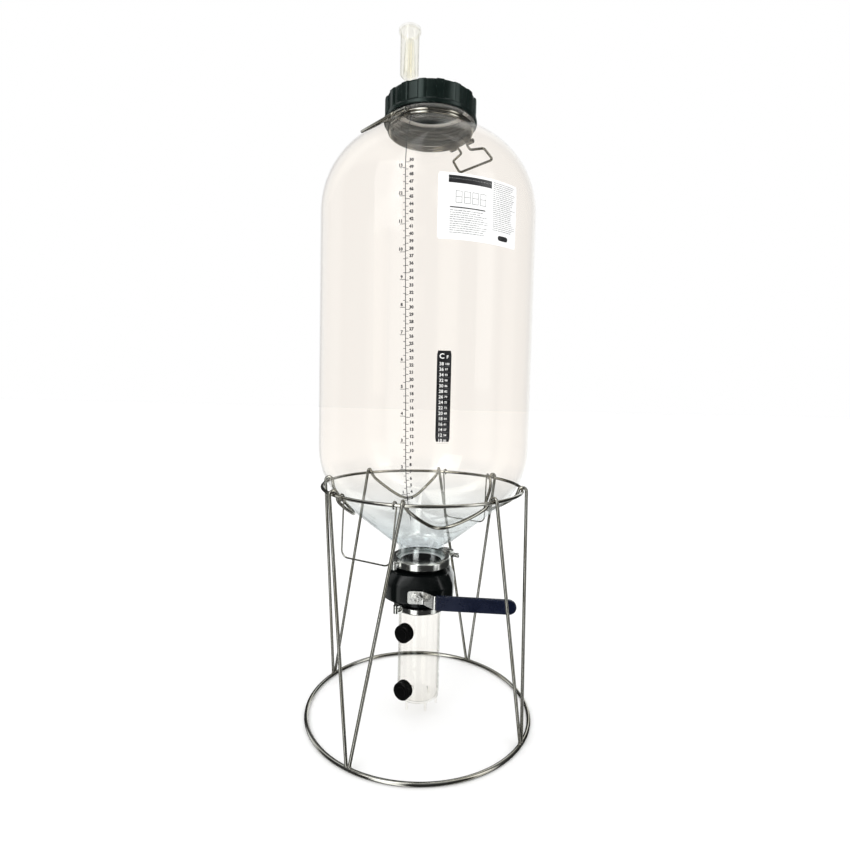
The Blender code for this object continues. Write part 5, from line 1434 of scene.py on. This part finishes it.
def make_port_cap(label, z):
    low, high = PORT_CAP_SPAN
    bore = PORT_R + 0.4 * MM
    liner_low = PORT_END + GAP
    plate = liner_low + 1.2 * MM + GAP
    ribs = 60

    def ribbed(depth):
        return lambda a: PORT_CAP_R - depth * (0.5 + 0.5 * cos(ribs * a))

    rows = soften([(0.0, high - 0.5 * MM), (8.0 * MM, high - 0.5 * MM), (8.6 * MM, high),
                   (PORT_CAP_R - 1.9 * MM, high), (PORT_CAP_R - 0.5 * MM, high - 1.0 * MM)], 0.4 * MM, False)
    rows += [(ribbed(0.2 * MM), high - 1.8 * MM), (ribbed(0.5 * MM), high - 2.4 * MM),
             (ribbed(0.5 * MM), low + 2.4 * MM), (ribbed(0.1 * MM), low + 1.9 * MM)]
    rows += soften([(PORT_CAP_R, low + 1.6 * MM), (PORT_CAP_R, low), (bore, low), (bore, plate), (0.0, plate)],
                   0.3 * MM, False)
    cap = lofted(f"port_cap_shell_{label}", rows, CAP_BLACK, 4 * ribs, False)
    stands_for(port_place(cap, z), f"port_cap_{label}")
    disc = turned(f"port_disc_{label}", [(0.0, liner_low + 1.2 * MM), (PORT_R - 0.4 * MM, liner_low + 1.2 * MM),
                                         (PORT_R - 0.4 * MM, liner_low), (0.0, liner_low)], SILICONE, 48, False)
    stands_for(port_place(disc, z), f"port_liner_{label}")
    thread = helix(f"port_thread_{label}", PORT_R - 0.1 * MM, low + 2.0 * MM, 3.0 * MM, 2.2, 0.35 * MM,
                   1.6 * MM, JAR_CLEAR)
    goes_with(port_place(thread, z), "collection_jar")


# ================================ studio and camera =====================================================

def make_floor():
    mesh = bpy.data.meshes.new("floor")
    bm = bmesh.new()
    bmesh.ops.create_grid(bm, x_segments=1, y_segments=1, size=15.0)
    bm.to_mesh(mesh)
    bm.free()
    surface, tree, shader = new_surface("pale_floor")
    patches = noise(tree, 0.8, 2.0)
    link(tree, shader, Base_Color=colours(tree, patches, (0.3, (0.93, 0.93, 0.93)), (0.7, (0.95, 0.95, 0.95))))
    shader.inputs["Roughness"].default_value = 0.9
    floor = add("floor", mesh, surface)
    floor.visible_glossy = False


def make_world():
    """A white backdrop; reflections see a dimmer room with tall soft panels of light."""
    world = bpy.data.worlds.new("studio")
    bpy.context.scene.world = world
    world.use_nodes = True
    tree = world.node_tree
    tree.nodes.clear()
    way = node(tree, "TexCoord").outputs["Generated"]
    level = node(tree, "VectorMath", {0: way, 1: (1.0, 1.0, 0.0)}, operation="MULTIPLY").outputs["Vector"]
    level = node(tree, "VectorMath", {0: level}, operation="NORMALIZE").outputs["Vector"]
    total = None
    panels = ((-26.0, 10.0, 2.4), (64.0, 8.0, 1.3), (158.0, 11.0, 1.4), (-112.0, 9.0, 1.1))
    for azimuth, half, power in panels:
        a = radians(azimuth - 90.0)
        facing = node(tree, "VectorMath", {0: level, 1: (cos(a), sin(a), 0.0)}, operation="DOT_PRODUCT")
        lit = node(tree, "MapRange", {"Value": facing.outputs["Value"], "From Min": cos(radians(half + 7.0)),
                                      "From Max": cos(radians(half - 5.0)), "To Min": 0.0, "To Max": power},
                   interpolation_type="SMOOTHSTEP").outputs["Result"]
        if total is None:
            total = lit
        else:
            total = node(tree, "Math", {0: total, 1: lit}, operation="ADD").outputs["Value"]
    rise = node(tree, "SeparateXYZ", {0: way}).outputs["Z"]
    above = node(tree, "MapRange", {"Value": rise, "From Min": 0.5, "From Max": 0.95,
                                   "To Min": 0.04, "To Max": 0.5})
    total = node(tree, "Math", {0: total, 1: above.outputs["Result"]}, operation="ADD").outputs["Value"]
    room = node(tree, "Background", {"Color": (0.97, 1.0, 0.99, 1.0), "Strength": total})
    fill = node(tree, "Background", {"Color": (1.0, 1.0, 1.0, 1.0), "Strength": 1.15})
    backdrop = node(tree, "Background", {"Color": (1.0, 1.0, 1.0, 1.0), "Strength": 1.0})
    path = node(tree, "LightPath")
    bounced = node(tree, "MixShader", {0: path.outputs["Is Glossy Ray"], 1: fill.outputs[0],
                                       2: room.outputs[0]})
    seen = node(tree, "MixShader", {0: path.outputs["Is Camera Ray"], 1: bounced.outputs[0],
                                    2: backdrop.outputs[0]})
    output = node(tree, "OutputWorld")
    tree.links.new(seen.outputs[0], output.inputs["Surface"])


def make_light(name, place, aim, size, power):
    light = bpy.data.lights.new(name, "AREA")
    light.shape = "RECTANGLE"
    light.size, light.size_y = size
    light.energy = power
    lamp = bpy.data.objects.new(name, light)
    bpy.context.scene.collection.objects.link(lamp)
    lamp.location = place
    lamp.rotation_euler = (Vector(aim) - Vector(place)).to_track_quat("-Z", "Y").to_euler()
    lamp.visible_camera = False


def make_camera():
    data = bpy.data.cameras.new("camera")
    data.sensor_width = 36.0
    data.lens = CAMERA_LENS
    camera = bpy.data.objects.new("camera", data)
    bpy.context.scene.collection.objects.link(camera)
    ahead = Vector((sin(CAMERA_YAW) * cos(CAMERA_PITCH), cos(CAMERA_YAW) * cos(CAMERA_PITCH),
                    -sin(CAMERA_PITCH)))
    level = Vector((cos(CAMERA_YAW), -sin(CAMERA_YAW), 0.0))
    upright = level.cross(ahead)
    right = level * cos(CAMERA_ROLL) + upright * sin(CAMERA_ROLL)
    up = upright * cos(CAMERA_ROLL) - level * sin(CAMERA_ROLL)
    turn = Matrix((right, up, -ahead)).transposed().to_4x4()
    camera.matrix_world = Matrix.Translation((0.0, -CAMERA_DISTANCE, CAMERA_HEIGHT)) @ turn
    bpy.context.scene.camera = camera


def make_studio():
    make_floor()
    make_world()
    make_light("key", (-1.6, -1.9, 2.2), (0, 0, 0.6), (1.4, 1.4), 16.0)
    make_light("fill", (2.0, -1.2, 1.4), (0, 0, 0.5), (0.8, 1.8), 6.0)
    make_camera()
    bpy.context.scene.view_settings.view_transform = "Standard"
    bpy.context.scene.cycles.transparent_max_bounces = 32


make_tank()
make_scale()
make_label()
make_thermometer()
make_stand()
make_drop_handle("stand_handle_back", DROP_AZIMUTH[0], DROP_TAPER[0])
make_drop_handle("stand_handle_front", DROP_AZIMUTH[1], DROP_TAPER[1])
make_collar()
make_carry_handle("carry_handle_back", PIVOT_AZIMUTH)
make_carry_handle("carry_handle_front", PIVOT_AZIMUTH + pi)
make_lid()
make_airlock()
make_gaskets()
make_clamps()
make_valve_body()
make_valve_inside()
make_lever()
make_jar()
make_studio()
